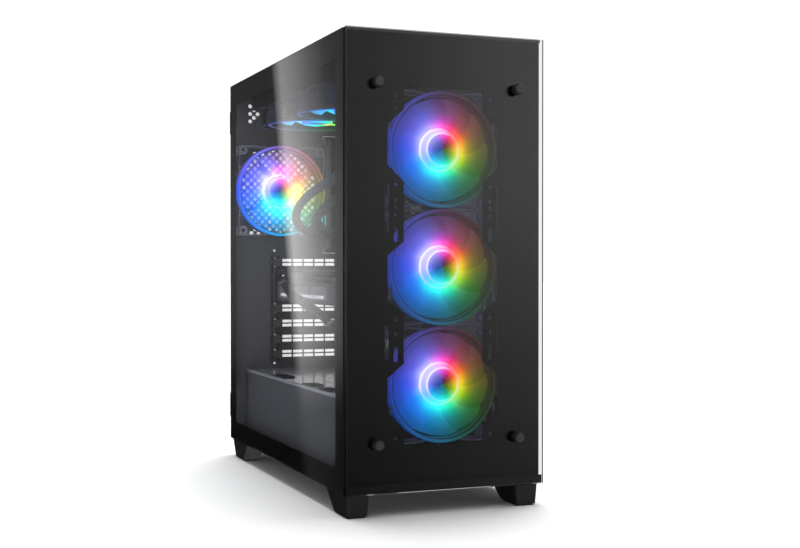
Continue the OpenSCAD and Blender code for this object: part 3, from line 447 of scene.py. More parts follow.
RIM = [(0, 0.8), (30, 0.5), (60, 0.36), (90, 0.32), (120, 0.45), (150, 0.75), (180, 1.0), (240, 0.8), (270, 1.0), (330, 1.0)]


def ring_stops(table, turn, conv):
    """colour stops round a full turn for a radial gradient, closed at both ends"""
    s = sorted(((90 - a + turn) % 360, c) for a, c in table)
    col = [(((a + 180) % 360) / 360, conv(c)) for a, c in s]
    col.sort(key=lambda t: t[0])
    (p0, c0), (p1, c1) = col[0], col[-1]
    w = (1 - p1) / max(p0 + 1 - p1, 1e-6)
    mid = tuple(c1[i] * (1 - w) + c0[i] * w for i in range(3))
    return [(0.0, mid)] + col + [(1.0, mid)]


def fan_glow(name, gain=1.0, turn=0.0, white=0.0, alpha=1.0, frame_part=False, base=(0.02, 0.02, 0.024), tables=None, ring=1.0, walls=(0.008, 0.02), flat_rim=0.0):
    """frosted plastic lit from the hub: colour by angle, fading outwards"""
    g = Mat(name, base, 0.38, spec=0.4)
    t_near, t_far = tables or (NEAR, FAR)
    sep = g.node("ShaderNodeSeparateXYZ")
    g.link(g.coords(), sep.inputs[0])
    flat = g.node("ShaderNodeCombineXYZ")
    g.link(sep.outputs[0], flat.inputs[0])
    g.link(sep.outputs[1], flat.inputs[1])
    grad = g.node("ShaderNodeTexGradient", gradient_type="RADIAL")
    g.link(flat.outputs[0], grad.inputs["Vector"])
    ln = g.node("ShaderNodeVectorMath", operation="LENGTH")
    g.link(flat.outputs[0], ln.inputs[0])
    r = g.math("DIVIDE", ln.outputs["Value"], 0.062)           # 0 at the axis, 1 at 62 mm
    hue = g.ramp(grad.outputs["Fac"], ring_stops(t_near, turn, hexc))
    far = g.ramp(grad.outputs["Fac"], ring_stops(t_far, turn, hexc))
    wht = g.ramp(grad.outputs["Fac"], ring_stops(WHITE, turn, lambda v: (v * ring, v * ring, v * ring)))
    R = lambda mm: mm / 62
    if frame_part:
        fall = g.ramp(r, [(0, (0.2, 0.2, 0.3)), (R(50), (0.25, 0.25, 0.35)), (R(54.3), (0.8, 0.8, 0.8)), (R(54.9), (0.8, 0.8, 0.8)), (R(55.0), (0.06, 0.06, 0.08)), (R(55.9), (0.06, 0.06, 0.08)), (R(56.3), (1, 1, 1)), (R(58.7), (0.95, 0.95, 1)), (R(59.5), (0.6, 0.6, 0.7)), (1, (0.15, 0.15, 0.2))])
        rim = g.ramp(grad.outputs["Fac"], ring_stops(RIM, turn, lambda v: (max(v, flat_rim),) * 3))
        col = g.mixcol(1.0, g.mixcol(1.0, far, fall, "MULTIPLY"), rim, "MULTIPLY")
        zf = g.maprange(sep.outputs[2], 0.06, 1.0, *walls)
        zc = g.node("ShaderNodeCombineXYZ")
        for i in range(3):
            g.link(zf, zc.inputs[i])
        col = g.mixcol(1.0, col, zc.outputs[0], "MULTIPLY")
    else:
        fall = g.ramp(r, [(0, (0.04, 0.16, 0.3)), (R(5), (0.1, 0.2, 0.36)), (R(10), (0.4, 0.42, 0.6)), (R(14), (0.85, 0.8, 0.9)), (R(17), (0.95, 0.95, 1.0)), (R(22.4), (1.0, 1.0, 1.05)),
                          (R(26), (0.95, 0.95, 1.05)), (R(32), (0.52, 0.56, 0.85)), (R(40), (0.22, 0.26, 0.45)), (R(53), (0.1, 0.1, 0.2))])
        ffar = g.ramp(r, [(0, (0, 0, 0)), (R(20), (1.0, 1.0, 1.0)), (R(30), (1.0, 1.0, 1.0)), (R(38), (0.85, 0.85, 0.85)), (R(46), (0.5, 0.5, 0.5)), (R(53), (0.36, 0.36, 0.36))])
        ringm = g.ramp(r, [(R(15.4), (0, 0, 0)), (R(16.3), (0.95, 0.95, 0.95)), (R(17.6), (1, 1, 1)), (R(18.4), (0.42, 0.42, 0.42)), (R(20.2), (0.42, 0.42, 0.42)), (R(20.9), (1, 1, 1)), (R(22.3), (0.95, 0.95, 0.95)), (R(22.9), (0.14, 0.14, 0.14)), (R(28), (0, 0, 0))])
        fac = g.mixcol(1.0, wht, ringm, "MULTIPLY")
        near = g.mixcol(1.0, hue, fall, "MULTIPLY")
        outer = g.mixcol(1.0, far, g.mixcol(1.0, ffar, (1.75, 1.75, 1.75), "MULTIPLY"), "MULTIPLY")
        col = g.mixcol(g.maprange(r, 0.0, 1.0, R(25), R(40)), near, outer)
        col = g.mixcol(fac, col, (0.96, 0.9, 1.05))
        # per-vertex shade scales the glow: painted highlight and painted shade on the blade edges
        at = g.node("ShaderNodeAttribute", attribute_name="shade")
        lift = g.maprange(at.outputs["Fac"], 0.45, 1.45, 0.0, 1.0)
        lc = g.node("ShaderNodeCombineXYZ")
        for i in range(3):
            g.link(lift, lc.inputs[i])
        col = g.mixcol(1.0, col, lc.outputs[0], "MULTIPLY")
    if white > 0:
        col = g.mixcol(white, col, (1.0, 1.0, 1.0))
    g.link(col, g.p.inputs["Emission Color"])
    g.set("Emission Strength", gain)
    if alpha < 1:
        g.set("Alpha", alpha)
    g.link(g.maprange(g.noise(220), 0.3, 0.46), g.p.inputs["Roughness"])
    g.bump(900, 0.15, 0.00005)
    return g


glow_front = fan_glow("fan_light_front", 1.5, base=(0.008, 0.008, 0.01))
glow_front_frame = fan_glow("fan_frame_light_front", 1.0, frame_part=True)
glow_rear = fan_glow("fan_light_rear", 5.4, alpha=0.3, ring=0.5)
glow_rear_frame = fan_glow("fan_frame_light_rear", 5.0, frame_part=True, flat_rim=0.7)
glow_roof = fan_glow("fan_light_roof", 2.2, tables=(NEAR_ROOF, FAR_ROOF), ring=0.0)
glow_roof_frame = fan_glow("fan_frame_light_roof", 0.9, frame_part=True, base=(0.007, 0.007, 0.008), tables=(NEAR_ROOF, FAR_ROOF), walls=(0.0225, 0.0247))
arm_glow_m = Mat("fan_arm_plastic", (0.05, 0.05, 0.065), 0.35, spec=0.5).vary((0.04, 0.04, 0.052), (0.06, 0.06, 0.078), 90, (0.28, 0.4))
# bluish emission on the arm plastic: painted glow standing in for fan light spilling onto the arms
arm_glow_m.set("Emission Color", (0.12, 0.12, 0.3, 1))
arm_glow_m.set("Emission Strength", 0.12)
arm_glow_m.bump(900, 0.15, 0.00005)


arm_roof_m = plastic("fan_arm_plastic_dark", (0.008, 0.008, 0.009), (0.012, 0.012, 0.0135), (0.5, 0.6))
arm_rear_m = plastic("fan_arm_plastic_pale", (0.10, 0.10, 0.125), (0.13, 0.13, 0.16), (0.28, 0.4))


def set_shade(ob, values):
    at = ob.data.attributes.new("shade", "FLOAT", "POINT")
    at.data.foreach_set("value", values)


def rotor(name, node, body, mat, matrix, r_tip=52.9, hub=22.4, cap=16.6, n=9, z0=6.4, z1=21.0, half=32.0, sweep=16.0, hub_z0=5.2, hub_z1=23.3):
    b = B()
    # domed hub: a sloping lit ring round a flat cap
    H = hub_z1 - hub_z0
    k = H / 18.1
    prof = [(0, hub_z0 + 1.2 * k), (hub - 2.4, hub_z0 + 1.2 * k), (hub - 2.0, hub_z0), (hub - 0.5, hub_z0), (hub, hub_z0 + 0.6 * k), (hub, hub_z0 + 7.2 * k), (hub - 0.5, hub_z0 + 8.6 * k), (hub - 1.6, hub_z0 + 9.0 * k),
            (cap + 1.7, hub_z1 - 1.9 * k), (cap + 1.3, hub_z1 - 0.5 * k), (cap + 0.6, hub_z1), (cap - 0.1, hub_z1 - 0.1 * k), (cap - 0.4, hub_z1 - 0.9 * k), (cap - 1.0, hub_z1 - 1.2 * k), (cap * 0.5, hub_z1 - 1.1 * k), (0, hub_z1 - 1.0 * k)]
    b.lathe(prof, 72)
    nh = len(b.bm.verts)
    shade = [0.55] * nh
    nu, nv = 13, 11
    for i in range(n):
        top, bot, sh = [], [], []
        for a in range(nu):
            u = a / (nu - 1)
            r = hub - 1.2 + (r_tip - hub + 1.2) * u
            hw = half * (1.0 + 0.10 * u) * (1 - 0.10 * u ** 6)
            low = min(1.0, 0.2 + 1.1 * u)
            rise = (z1 - z0) / 2 * low * (1.0 - 0.12 * u)
            zc = (z0 + z1) / 2 - 2.6 * (1 - min(1.0, 2.2 * u))
            rt, rb, rs = [], [], []
            for c in range(nv):
                v = -1 + 2 * c / (nv - 1)
                th = math.radians(360 * i / n + sweep * u * u * 1.2 + v * hw)
                rr = r - (1.6 * v ** 6 if u > 0.9 else 0)
                z = zc + rise * math.sin(v * math.pi / 2 * 0.94) * 0.94 + 1.3 * (1 - v * v) * (1 - u * 0.4)
                t = 0.75 * (1 - 0.62 * v * v)
                rt.append((rr * math.cos(th), rr * math.sin(th), z + t))
                rb.append((rr * math.cos(th), rr * math.sin(th), z - t))
                # painted highlight along each blade's leading edge and painted shade along its trailing edge
                rs.append(0.55 + (0.05 * v ** 8 if v > 0 else -0.03 * v ** 8) + 0.02 * v)
            top.append(rt); bot.append(rb); sh.append(rs)
        b.grid(top, bot)
        flat = [s for row in sh for s in row]
        shade += flat + flat
    ob = b.make(name, mat, body, [node], matrix, smooth=40)
    set_shade(ob, shade)
    return ob


def fan_frame(name, node, body, mat, matrix):
    b = B()
    # duct ring with rounded lips
    b.lathe([(54.5, 0.6), (54.9, 0), (59.0, 0), (59.5, 0.6), (59.5, 3.6), (58.6, 4.6), (58.6, 20.4), (59.5, 21.4), (59.5, 24.4), (58.9, 25.0), (56.2, 25.0), (55.1, 24.3), (54.5, 22.4)], 120)
    for a in range(4):
        m = Matrix.Rotation(math.radians(90 * a), 4, "Z")
        for z in (0, 21):
            # screw ear: a ring with its hole
            b.lathe([(2.2, z + 0.3), (2.6, z), (5.9, z), (6.4, z + 0.5), (6.4, z + 3.5), (5.9, z + 4), (2.6, z + 4), (2.2, z + 3.7)], 28, m @ Matrix.Translation((52.5, 52.5, 0)), 1)
            for flip in (0, 1):
                # curved arm from the ring's flank to the ear
                mid = []
                for k in range(11):
                    t = k / 10
                    mid.append((20 + 30.5 * t, 56.6 + 1.6 * math.sin(t * 2.6)))
                rows = lambda zz: [[((y, x, zz) if flip else (x, y, zz)) for y in (yc - w, yc + w)] for x, yc, w in ((q[0], q[1], 0.9) for q in mid)]
                mm = [[m @ Vector(p) for p in row] for row in rows(z + 3.7)]
                nn = [[m @ Vector(p) for p in row] for row in rows(z + 0.3)]
                b.grid(mm, nn, 1)
        b.lathe([(2.2, 3.6), (3.5, 3.6), (3.5, 21.4), (2.2, 21.4)], 20, m @ Matrix.Translation((52.5, 52.5, 0)), 1)
    # motor mount and its four curved struts
    b.lathe([(0, 0.4), (18.8, 0.4), (19.6, 1.0), (19.6, 3.2), (18.6, 3.4), (0, 3.4)], 48)
    for a in range(4):
        pts = []
        for k in range(13):
            r = 18 + 38 * k / 12
            th = math.radians(25 + 90 * a + 10 * math.sin(k / 12 * math.pi))
            pts.append((r, th))
        top = [[(r * math.cos(th + s / r), r * math.sin(th + s / r), 3.3) for s in (-1.9, 0, 1.9)] for r, th in pts]
        bot = [[(r * math.cos(th + s / r), r * math.sin(th + s / r), 0.7) for s in (-1.5, 0, 1.5)] for r, th in pts]
        b.grid(top, bot)
    return b.make(name, mat, body, [node], matrix, smooth=35)


def place(x, y, z, rx):
    return Matrix.Translation((x * MM, y * MM, z * MM)) @ Matrix.Rotation(math.radians(rx), 4, "X")




def mid(node):
    lo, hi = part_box(node)
    return [(lo[k] + hi[k]) / 2 / MM for k in range(3)]


for i in (1, 2, 3):
    M = place(0, -192.5, mid(f"front_fan_frame_{i}")[2], 90)
    rotor(f"front_rotor_{i}_lit", f"front_fan_rotor_{i}", f"front_rotor_{i}", glow_front, M)
    fan_frame(f"front_frame_{i}_detail", f"front_fan_frame_{i}", "chassis", [glow_front_frame, arm_glow_m], M)
M = place(-43.5, 228.8, mid("rear_fan_frame")[2], 90)
rotor("rear_rotor_lit", "rear_fan_rotor", "rear_rotor", glow_rear, M)
fan_frame("rear_frame_detail", "rear_fan_frame", "chassis", [glow_rear_frame, arm_rear_m], M)
RAD_Z0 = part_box("radiator")[0][2] / MM + 8          # the fittings hang 8 mm under the tank
for i, y in enumerate((66, -54), 1):
    M = place(-40, y, RAD_Z0, 180)
    rotor(f"roof_rotor_{i}_lit", f"roof_fan_rotor_{i}", f"roof_rotor_{i}", glow_roof, M)
    fan_frame(f"roof_frame_{i}_detail", f"roof_fan_frame_{i}", "chassis", [glow_roof_frame, arm_roof_m], M)


# ------------------------------------------------------------------ finishes of the carried-over nodes
def finish_node(names, mat):
    for n in names.split():
        for s in NODES[n].material_slots:
            s.material = mat.m


finish_node("floor_pan roof_plate right_side_panel drive_cage", steel)
finish_node("rear_panel slot_covers", two_sided_inner_lit("powder_rear_panel", "-Y", ((0.0105, 0.0105, 0.0112), (0.0165, 0.0165, 0.0175)), (INNER_LIT_A, INNER_LIT_B)))
finish_node("front_plate", Mat("powder_front_plate", (0.009, 0.009, 0.0095), 0.6, spec=0.15).vary((0.008, 0.008, 0.0085), (0.011, 0.011, 0.0115), 35, (0.6, 0.68), 60).bump(300, 0.01, 0.00002))

finish_node("board_tray", tray_powder_lit)
finish_node("psu_case", powder("powder_supply", (0.012, 0.012, 0.013), (0.018, 0.018, 0.02), (0.36, 0.5)))
finish_node("psu_shroud", shroud_lit_top_m)
finish_node("shroud_grommets foot_pads", rubber)
finish_node("feet door_pull_tab control_pod psu_inlet", foot_m)
finish_node("power_button reset_button psu_switch", plastic("gloss_button", (0.012, 0.012, 0.013), (0.018, 0.018, 0.02), (0.18, 0.26), 900, 0.05))
finish_node("glass_standoffs panel_thumbscrews door_hinge_lugs door_knuckles", black_metal)
finish_node("slot_screws door_magnets", zinc)
finish_node("hard_drive", alu)
finish_node("usb_sockets", nickel)
finish_node("psu_dust_filter roof_dust_filter", mesh_m)
finish_node("radiator", fin_m)
finish_node("gpu_shroud psu_fan_rotor", plastic("card_shroud_plastic", (0.024, 0.024, 0.026), (0.034, 0.034, 0.036), (0.34, 0.46)))
finish_node("motherboard gpu_card", pcb)
finish_node("gpu_heatsink", alu)

# ------------------------------------------------------------------ shroud edge and front knobs
b = B()
# pale powder on the folded edge: a painted highlight where the bend catches the light
b.prism([(-86.6, 109.8), (-86.8, 111.4), (-86.3, 112.6), (-85.3, 113.3), (-84.4, 113.3), (-84.4, 112.0), (-85.6, 111.4), (-85.8, 109.8)], -187.6, 228.4, "xz", 0.15, 1)
b.make("shroud_folded_edge", powder("powder_edge_painted_highlight", (0.12, 0.12, 0.135), (0.16, 0.16, 0.178), (0.26, 0.34)), "chassis", smooth=50)

b = B()
for x in (-77, 77):
    for z in (72, 431):
        m = Matrix.Translation((x, -230, z)) @ Matrix.Rotation(math.radians(90), 4, "X")
        b.lathe([(0, 0), (5.0, 0), (5.2, 0.5), (5.2, 1.4), (5.45, 1.9), (5.45, 8.3), (5.1, 9.2), (4.5, 9.75), (3.6, 9.95), (3.3, 9.6), (0, 9.5)], 48, m)
        # front cap in a lighter plastic: a painted highlight on the lit face of the knob
        b.lathe([(0, 9.3), (3.9, 9.3), (4.3, 9.6), (4.2, 9.9), (3.5, 10.0), (0, 9.92)], 40, m, 1)
        for k in range(30):
            b.box(5.2, 5.75, -0.3, 0.3, 2.2, 8.0, 0.12, 1, 0, m @ Matrix.Rotation(2 * math.pi * k / 30, 4, "Z"))
b.make("knurled_knobs", [knob_m, plastic("knob_cap_painted_lit", (0.035, 0.035, 0.037), (0.048, 0.048, 0.05), (0.4, 0.5))], "chassis", ["glass_knobs"], smooth=40)

# ------------------------------------------------------------------ memory, cooling and power parts on the board
spreader_m = metal("spreader_grey", (0.10, 0.10, 0.108), (0.15, 0.15, 0.16), (0.3, 0.42))
frost_m = Mat("frosted_bar", (0.5, 0.5, 0.52), 0.4, spec=0.5).vary((0.44, 0.44, 0.46), (0.56, 0.56, 0.58), 80, (0.35, 0.5)).bump(900, 0.1, 0.00004)
sink_m = metal("sink_grey", (0.12, 0.12, 0.128), (0.17, 0.17, 0.18), (0.3, 0.42))
cap_m = metal("capacitor_can", (0.42, 0.42, 0.44), (0.55, 0.55, 0.57), (0.2, 0.3))
choke_m = plastic("ferrite_block", (0.035, 0.035, 0.037), (0.05, 0.05, 0.053), (0.4, 0.5))
gloss_m = Mat("gloss_cover", (0.012, 0.012, 0.013), 0.08, spec=0.6).vary((0.010, 0.010, 0.011), (0.015, 0.015, 0.016), 30, (0.05, 0.12))
shroud_trim = plastic("card_trim", (0.07, 0.07, 0.075), (0.095, 0.095, 0.1), (0.32, 0.42), 1600, 0.15)

b = B()
for y0 in (45.0, 64.2):
    outline = [(60.5, 264.4), (32.2, 264.4)]
    for zc in (290, 331, 372):
        outline += [(32.2, zc - 9), (35.2, zc - 6), (35.2, zc + 6), (32.2, zc + 9)]
    outline += [(32.2, 397.6), (60.5, 397.6), (60.5, 350), (58.8, 347), (58.8, 315), (60.5, 312)]
    for lo in (y0 + 0.5, y0 + 4.9):
        b.prism(outline, lo, lo + 1.8, "xz", 0.35, 1, 0)
    for k in range(6):
        z = 276 + 20.5 * k
        for lo, hi in ((y0, y0 + 0.7), (y0 + 6.5, y0 + 7.2)):
            b.prism([(38, z), (41, z), (57, z + 10), (57, z + 13), (54, z + 13), (38, z + 3)], lo, hi, "xz", 0.15, 1, 0)
    b.box(33.0, 62.0, y0 + 2.9, y0 + 4.3, 264.2, 397.8, 0.1, 1, 1)
    b.box(28.2, 33.6, y0 + 1.3, y0 + 5.9, 268, 394, 1.3, 3, 2)
    for z in (265.2, 392.8):
        b.box(29.4, 36.0, y0 + 0.8, y0 + 6.4, z, z + 4, 0.6, 2, 0)
b.make("memory_spreaders", [spreader_m, pcb, frost_m], "chassis", ["memory_sticks"], smooth=35)

b = B()
for i in range(4):
    for z0, z1 in ((256.2, 262.0), (402.0, 407.8)):
        b.box(58.2, 67.9, 36.2 + 9.6 * i, 41.8 + 9.6 * i, z0, z1, 0.9, 2)
        b.box(56.6, 60.0, 37.2 + 9.6 * i, 40.8 + 9.6 * i, z0 + 0.4, z1 - 0.4, 0.7, 2)
for k in (2, 4, 6):
    z = 253.5 - 20.32 * k
    b.box(59.2, 67.9, 80.0, 84.2, z + 1.0, z + 9.2, 0.8, 2)
b.make("slot_latches", shroud_trim, "chassis", smooth=40)

b = B()
for i in range(8):
    b.prism([(66.4, 186.2), (39, 186.2), (36.3, 189), (36.3, 199), (39, 201.8), (66.4, 201.8)], 282.2 + 14 * i, 291.8 + 14 * i, "xy", 0.6, 2)
b.box(60.2, 67.8, 185.2, 202.8, 280.2, 391.8, 0.8)
for i in range(6):
    b.prism([(66.4, 396.4), (41, 396.4), (38.3, 399), (38.3, 409), (41, 411.6), (66.4, 411.6)], 96.3 + 14 * i, 105.7 + 14 * i, "xz", 0.6, 2)
b.box(60.2, 67.8, 94.2, 177.8, 395.2, 412.8, 0.8)
b.tube(smooth_path([(57, 194, 372), (57, 194, 392), (57, 192, 400), (57, 184, 404), (57, 170, 404), (57, 100, 404)], 6), 2.9, 16, 1)
b.prism([(10.4, 140.4), (61.6, 140.4), (61.6, 184), (50, 195.6), (10.4, 195.6)], 60.2, 67.8, "yz", 0.9, 2)
for k in range(5):
    b.prism([(14 + 9 * k, 146), (17.5 + 9 * k, 146), (21.5 + 9 * k, 178), (18 + 9 * k, 178)], 59.2, 60.6, "yz", 0.3, 1)
b.make("finned_sinks", [sink_m, nickel], "chassis", ["board_heatsinks"], smooth=35)

b = B()
toX = Matrix.Rotation(math.radians(-90), 4, "Y")
for k in range(11):
    b.lathe([(0, 0), (2.9, 0), (2.9, 0.8), (2.6, 1.1), (2.9, 1.5), (2.9, 7.4), (2.5, 7.9), (1.9, 7.9), (1.7, 7.6), (0, 7.6)], 20, Matrix.Translation((68, 98 + 7.6 * k, 388)) @ toX, 0)
for k in range(5):
    b.lathe([(0, 0), (3.1, 0), (3.1, 9.4), (2.7, 9.9), (1.9, 9.9), (1.7, 9.5), (0, 9.5)], 20, Matrix.Translation((68, 196 + 0.2 * k, 150 + 9.5 * k)) @ toX, 0)
for k in range(8):
    b.box(61.2, 68.0, 173.2, 181.4, 286 + 12.4 * k, 294.4 + 12.4 * k, 0.8, 2, 1)
for k in range(9):
    b.box(66.4, 68.0, 86 + 9 * k, 90.5 + 9 * k, 292, 294.5, 0.2, 1, 1)
    b.box(66.8, 68.0, 84 + 9 * k, 86.4 + 9 * k, 374.5, 378.5, 0.2, 1, 2)
for z0, z1, y0, y1 in ((258.0, 280.5, 80, 164), (180.0, 202.0, 84, 172)):
    b.box(63.4, 67.9, y0, y1, z0, z1, 0.8, 2, 3)
    for k in range(4):
        b.prism([(y0 + 12 + 17 * k, z0 + 3), (y0 + 17 + 17 * k, z0 + 3), (y0 + 25 + 17 * k, z1 - 3), (y0 + 20 + 17 * k, z1 - 3)], 62.8, 63.8, "yz", 0.25, 1, 3)
    b.lathe([(0, 0), (2.8, 0), (2.8, 1.6), (2.2, 2.1), (0, 2.1)], 20, Matrix.Translation((63.6, y1 - 5, (z0 + z1) / 2)) @ toX, 2)
b.make("board_components", [cap_m, choke_m, zinc, sink_m], "chassis", smooth=40)

# teal ring light of the pump head, also used for the painted glint on the socket cover
ring_light_and_glint = Mat("pump_ring_light", (0.1, 0.12, 0.12), 0.4)
ring_light_and_glint.link(ring_light_and_glint.mixcol(ring_light_and_glint.maprange(ring_light_and_glint.noise(14), 0, 1), (0.0, 0.75, 0.5), (0.05, 0.5, 0.8)), ring_light_and_glint.p.inputs["Emission Color"])
ring_light_and_glint.set("Emission Strength", 0.9)
b = B()
b.prism([(203.8, 270.4), (227.6, 270.4), (227.6, 419.6), (212, 419.6), (203.8, 409)], 17.4, 20.9, "yz", 0.9, 2)
for k in range(7):
    b.prism([(207, 282 + 17 * k), (221, 290 + 17 * k), (221, 293 + 17 * k), (207, 285 + 17 * k)], 16.8, 17.8, "yz", 0.3, 1)
b.box(20.6, 24.0, 204.2, 205.8, 272, 417, 0.4, 1)
# teal glowing patch on the cover: a painted glint of teal fan light, not a lamp
b.prism([(205.2, 303), (224, 309), (224, 323), (205.2, 315)], 16.6, 17.7, "yz", 0.25, 1, 1)
b.make("socket_cover", [shroud_trim, ring_light_and_glint], "chassis", smooth=40)

b = B()
pm = Matrix.Translation((66, 132, 336)) @ toX
b.lathe([(0, 0.4), (26, 0.4), (27, 1.4), (27, 8), (29.4, 10), (30.4, 11), (30.4, 24.6), (29.8, 25.6), (28.6, 26.0), (28.2, 26.6), (0, 26.6)], 96, pm, 0)
for k in range(54):
    b.box(29.9, 30.95, -0.7, 0.7, 12.2, 23.6, 0.25, 1, 0, pm @ Matrix.Rotation(2 * math.pi * k / 54, 4, "Z"))
b.lathe([(25.4, 26.4), (28.3, 26.4), (28.6, 27.2), (28.3, 29.4), (27.4, 30.2), (25.4, 30.2)], 96, pm, 1)
b.lathe([(0, 26.4), (25.8, 26.4), (25.8, 31.2), (25.2, 32.0), (24.2, 32.4), (0, 32.4)], 96, pm, 2)
for sy in (-1, 1):
    for sz in (-1, 1):
        m = Matrix.Translation((65.4, 132 + sy * 25.5, 336 + sz * 28.5)) @ toX
        b.lathe([(0, 0), (4.2, 0), (4.2, 1.6), (2.4, 2.0), (2.4, 8), (3.6, 8.4), (3.6, 12.4), (3.0, 13), (1.4, 13), (1.2, 12.3), (0, 12.3)], 24, m, 3)
        b.box(62.0, 65.2, 132 + sy * 12 - (12 if sy < 0 else 0), 132 + sy * 12 + (12 if sy > 0 else 0) + 0.01, 336 + sz * 28.5 - 3, 336 + sz * 28.5 + 3, 0.5, 1, 3)
for q in ((142, 311.5), (122, 313.5)):
    b.lathe([(0, 0), (6.9, 0), (6.9, 1.6), (6.2, 2.0), (6.2, 3.0), (6.9, 3.4), (6.9, 7.2), (6.0, 8.0), (0, 8.0)], 32, Matrix.Translation((34.2, *q)) @ toX, 3)
b.make("pump_head", [abs_m, ring_light_and_glint, gloss_m, black_metal], "chassis", ["pump_block"], smooth=40)

T_A = [(-34, -124, 436), (-35, -124, 424), (-36, -121, 411), (-38, -106, 394), (-41, -70, 373), (-44, -20, 352), (-46, 35, 343), (-46, 92, 333), (-44, 136, 319), (-38, 154, 304), (-22, 158, 292), (2, 156, 290), (22, 146, 300), (30, 142, 310)]
T_B = [(-12, -124, 436), (-13, -124, 424), (-14, -121, 411), (-17, -104, 391), (-20, -66, 368), (-24, -16, 344), (-27, 34, 329), (-28, 82, 318), (-25, 118, 306), (-16, 134, 294), (0, 136, 288), (16, 128, 296), (24, 124, 306), (28, 122, 312)]


def collar(b, p, q, r, length, mat):
    """crimped end sleeve from p towards q"""
    p, q = Vector(p), Vector(q)
    m = Matrix.Translation(p) @ (q - p).to_track_quat("Z", "Y").to_matrix().to_4x4()
    L = length
    b.lathe([(5.0, 0.2), (r - 0.5, 0), (r, 0.5), (r, 2.4), (r - 0.6, 2.9), (r - 0.6, 3.7), (r, 4.2), (r, L - 0.8), (r - 0.5, L), (5.0, L - 0.1)], 36, m, mat)


for tag, route in (("a", T_A), ("b", T_B)):
    line = smooth_path(route, 8)
    b = B()
    b.tube(line, 5.5, 22, 0)
    hose = b.make(f"braided_hose_{tag}", [sleeve], "chassis", ["coolant_tubes"], smooth=50)
    b = B()
    collar(b, route[0], route[1], 7.0, 11.5, 0)
    collar(b, route[-1], route[-2], 6.8, 9.0, 0)
    ends = b.make(f"hose_collars_{tag}", [black_metal], "chassis", smooth=50)


def route_frames(pts, m):
    path, out, u = smooth_path(pts, m), [], None
    for i, p in enumerate(path):
        t = (path[min(i + 1, len(path) - 1)] - path[max(i - 1, 0)]).normalized()
        if u is None:
            u = t.cross(Vector((0, 1, 0)))
            u = u.normalized() if u.length > 0.2 else t.orthogonal().normalized()
        u = (u - t * u.dot(t)).normalized()
        out.append((p, t, u, t.cross(u)))
    return out


def bundle(b, pts, offs, r, m=5, n=10, combs=(), comb=(7.7, 4.3), mat=0, cmat=1):
    fr = route_frames(pts, m)
    for du, dv in offs:
        b.tube([p + du * u + dv * v for p, t, u, v in fr], r, n, mat)
    for k in combs:
        p, t, u, v = fr[int(k * (len(fr) - 1))]
        mm = Matrix((u, v, t)).transposed().to_4x4()
        mm.translation = p
        b.box(-comb[0], comb[0], -comb[1], comb[1], -1.3, 1.3, 0.6, 2, cmat, mm)


G_LEAD = [(-58, 96, 233), (-68, 94, 232), (-75, 86, 226), (-74, 70, 216), (-66, 46, 207), (-60, 19, 198), (-56, -5, 190), (-49, -28, 177), (-36, -50, 165), (-4, -62, 158), (36, -57, 158), (62, -48, 160), (80, -38, 157), (89, -24, 146), (91, -4, 128), (89, 14, 110), (84, 32, 95), (76, 50, 83), (69, 66, 77), (68, 84, 76)]
B_LEAD = [(50, -14, 326), (43, -19, 326), (40, -29, 327), (47, -39, 329), (63, -42, 330), (84, -42, 329), (93, -36, 300), (94, -8, 228), (94, 28, 160), (93, 46, 125), (93, 51, 104), (92, 57, 87), (86, 67, 71), (79, 77, 65.5), (78.5, 84, 65)]
def lead(name, route, offs, r, extra):
    b = B()
    bundle(b, route, offs, r)
    ob = b.make(name, [sleeve], "chassis", [extra[0]], smooth=45)


b = B()
bundle(b, G_LEAD, [], 1.75, combs=(0.12, 0.24, 0.36, 0.48))
b.box(-65.8, -51.2, 86.3, 105.7, 225.9, 239.7, 0.7, 2, 1)
for i in range(4):
    for j in range(2):
        b.box(-67.4, -65.4, 87.8 + 4.5 * i, 91.4 + 4.5 * i, 227.8 + 5.6 * j, 232.0 + 5.6 * j, 0.4, 1, 1)
b.box(-62, -54, 90, 102, 239.4, 240.7, 0.4, 1, 1)
plug = b.make("card_plug_and_combs", [sleeve, shroud_trim], "chassis", smooth=45)
lead("card_power_lead", G_LEAD, [(x, y) for x in (-5.4, -1.8, 1.8, 5.4) for y in (-1.85, 1.85)], 1.75, ["gpu_power_cable", plug])
b = B()
bundle(b, B_LEAD, [], 1.45, combs=(0.1, 0.2, 0.3), comb=(5.0, 3.6))
b.box(50.2, 58.2, -18.8, -9.2, 301.2, 350.8, 0.7, 2, 1)
for i in range(12):
    for j in range(2):
        b.box(48.6, 50.6, -17.6 + 4.4 * j, -14.6 + 4.4 * j, 303.2 + 3.9 * i, 306.0 + 3.9 * i, 0.35, 1, 1)
plug = b.make("board_plug_and_combs", [sleeve, shroud_trim], "chassis", smooth=45)
lead("board_power_lead", B_LEAD, [(x, y) for x in (-3.1, 0, 3.1) for y in (-1.5, 1.5)], 1.45, ["board_power_cable", plug])

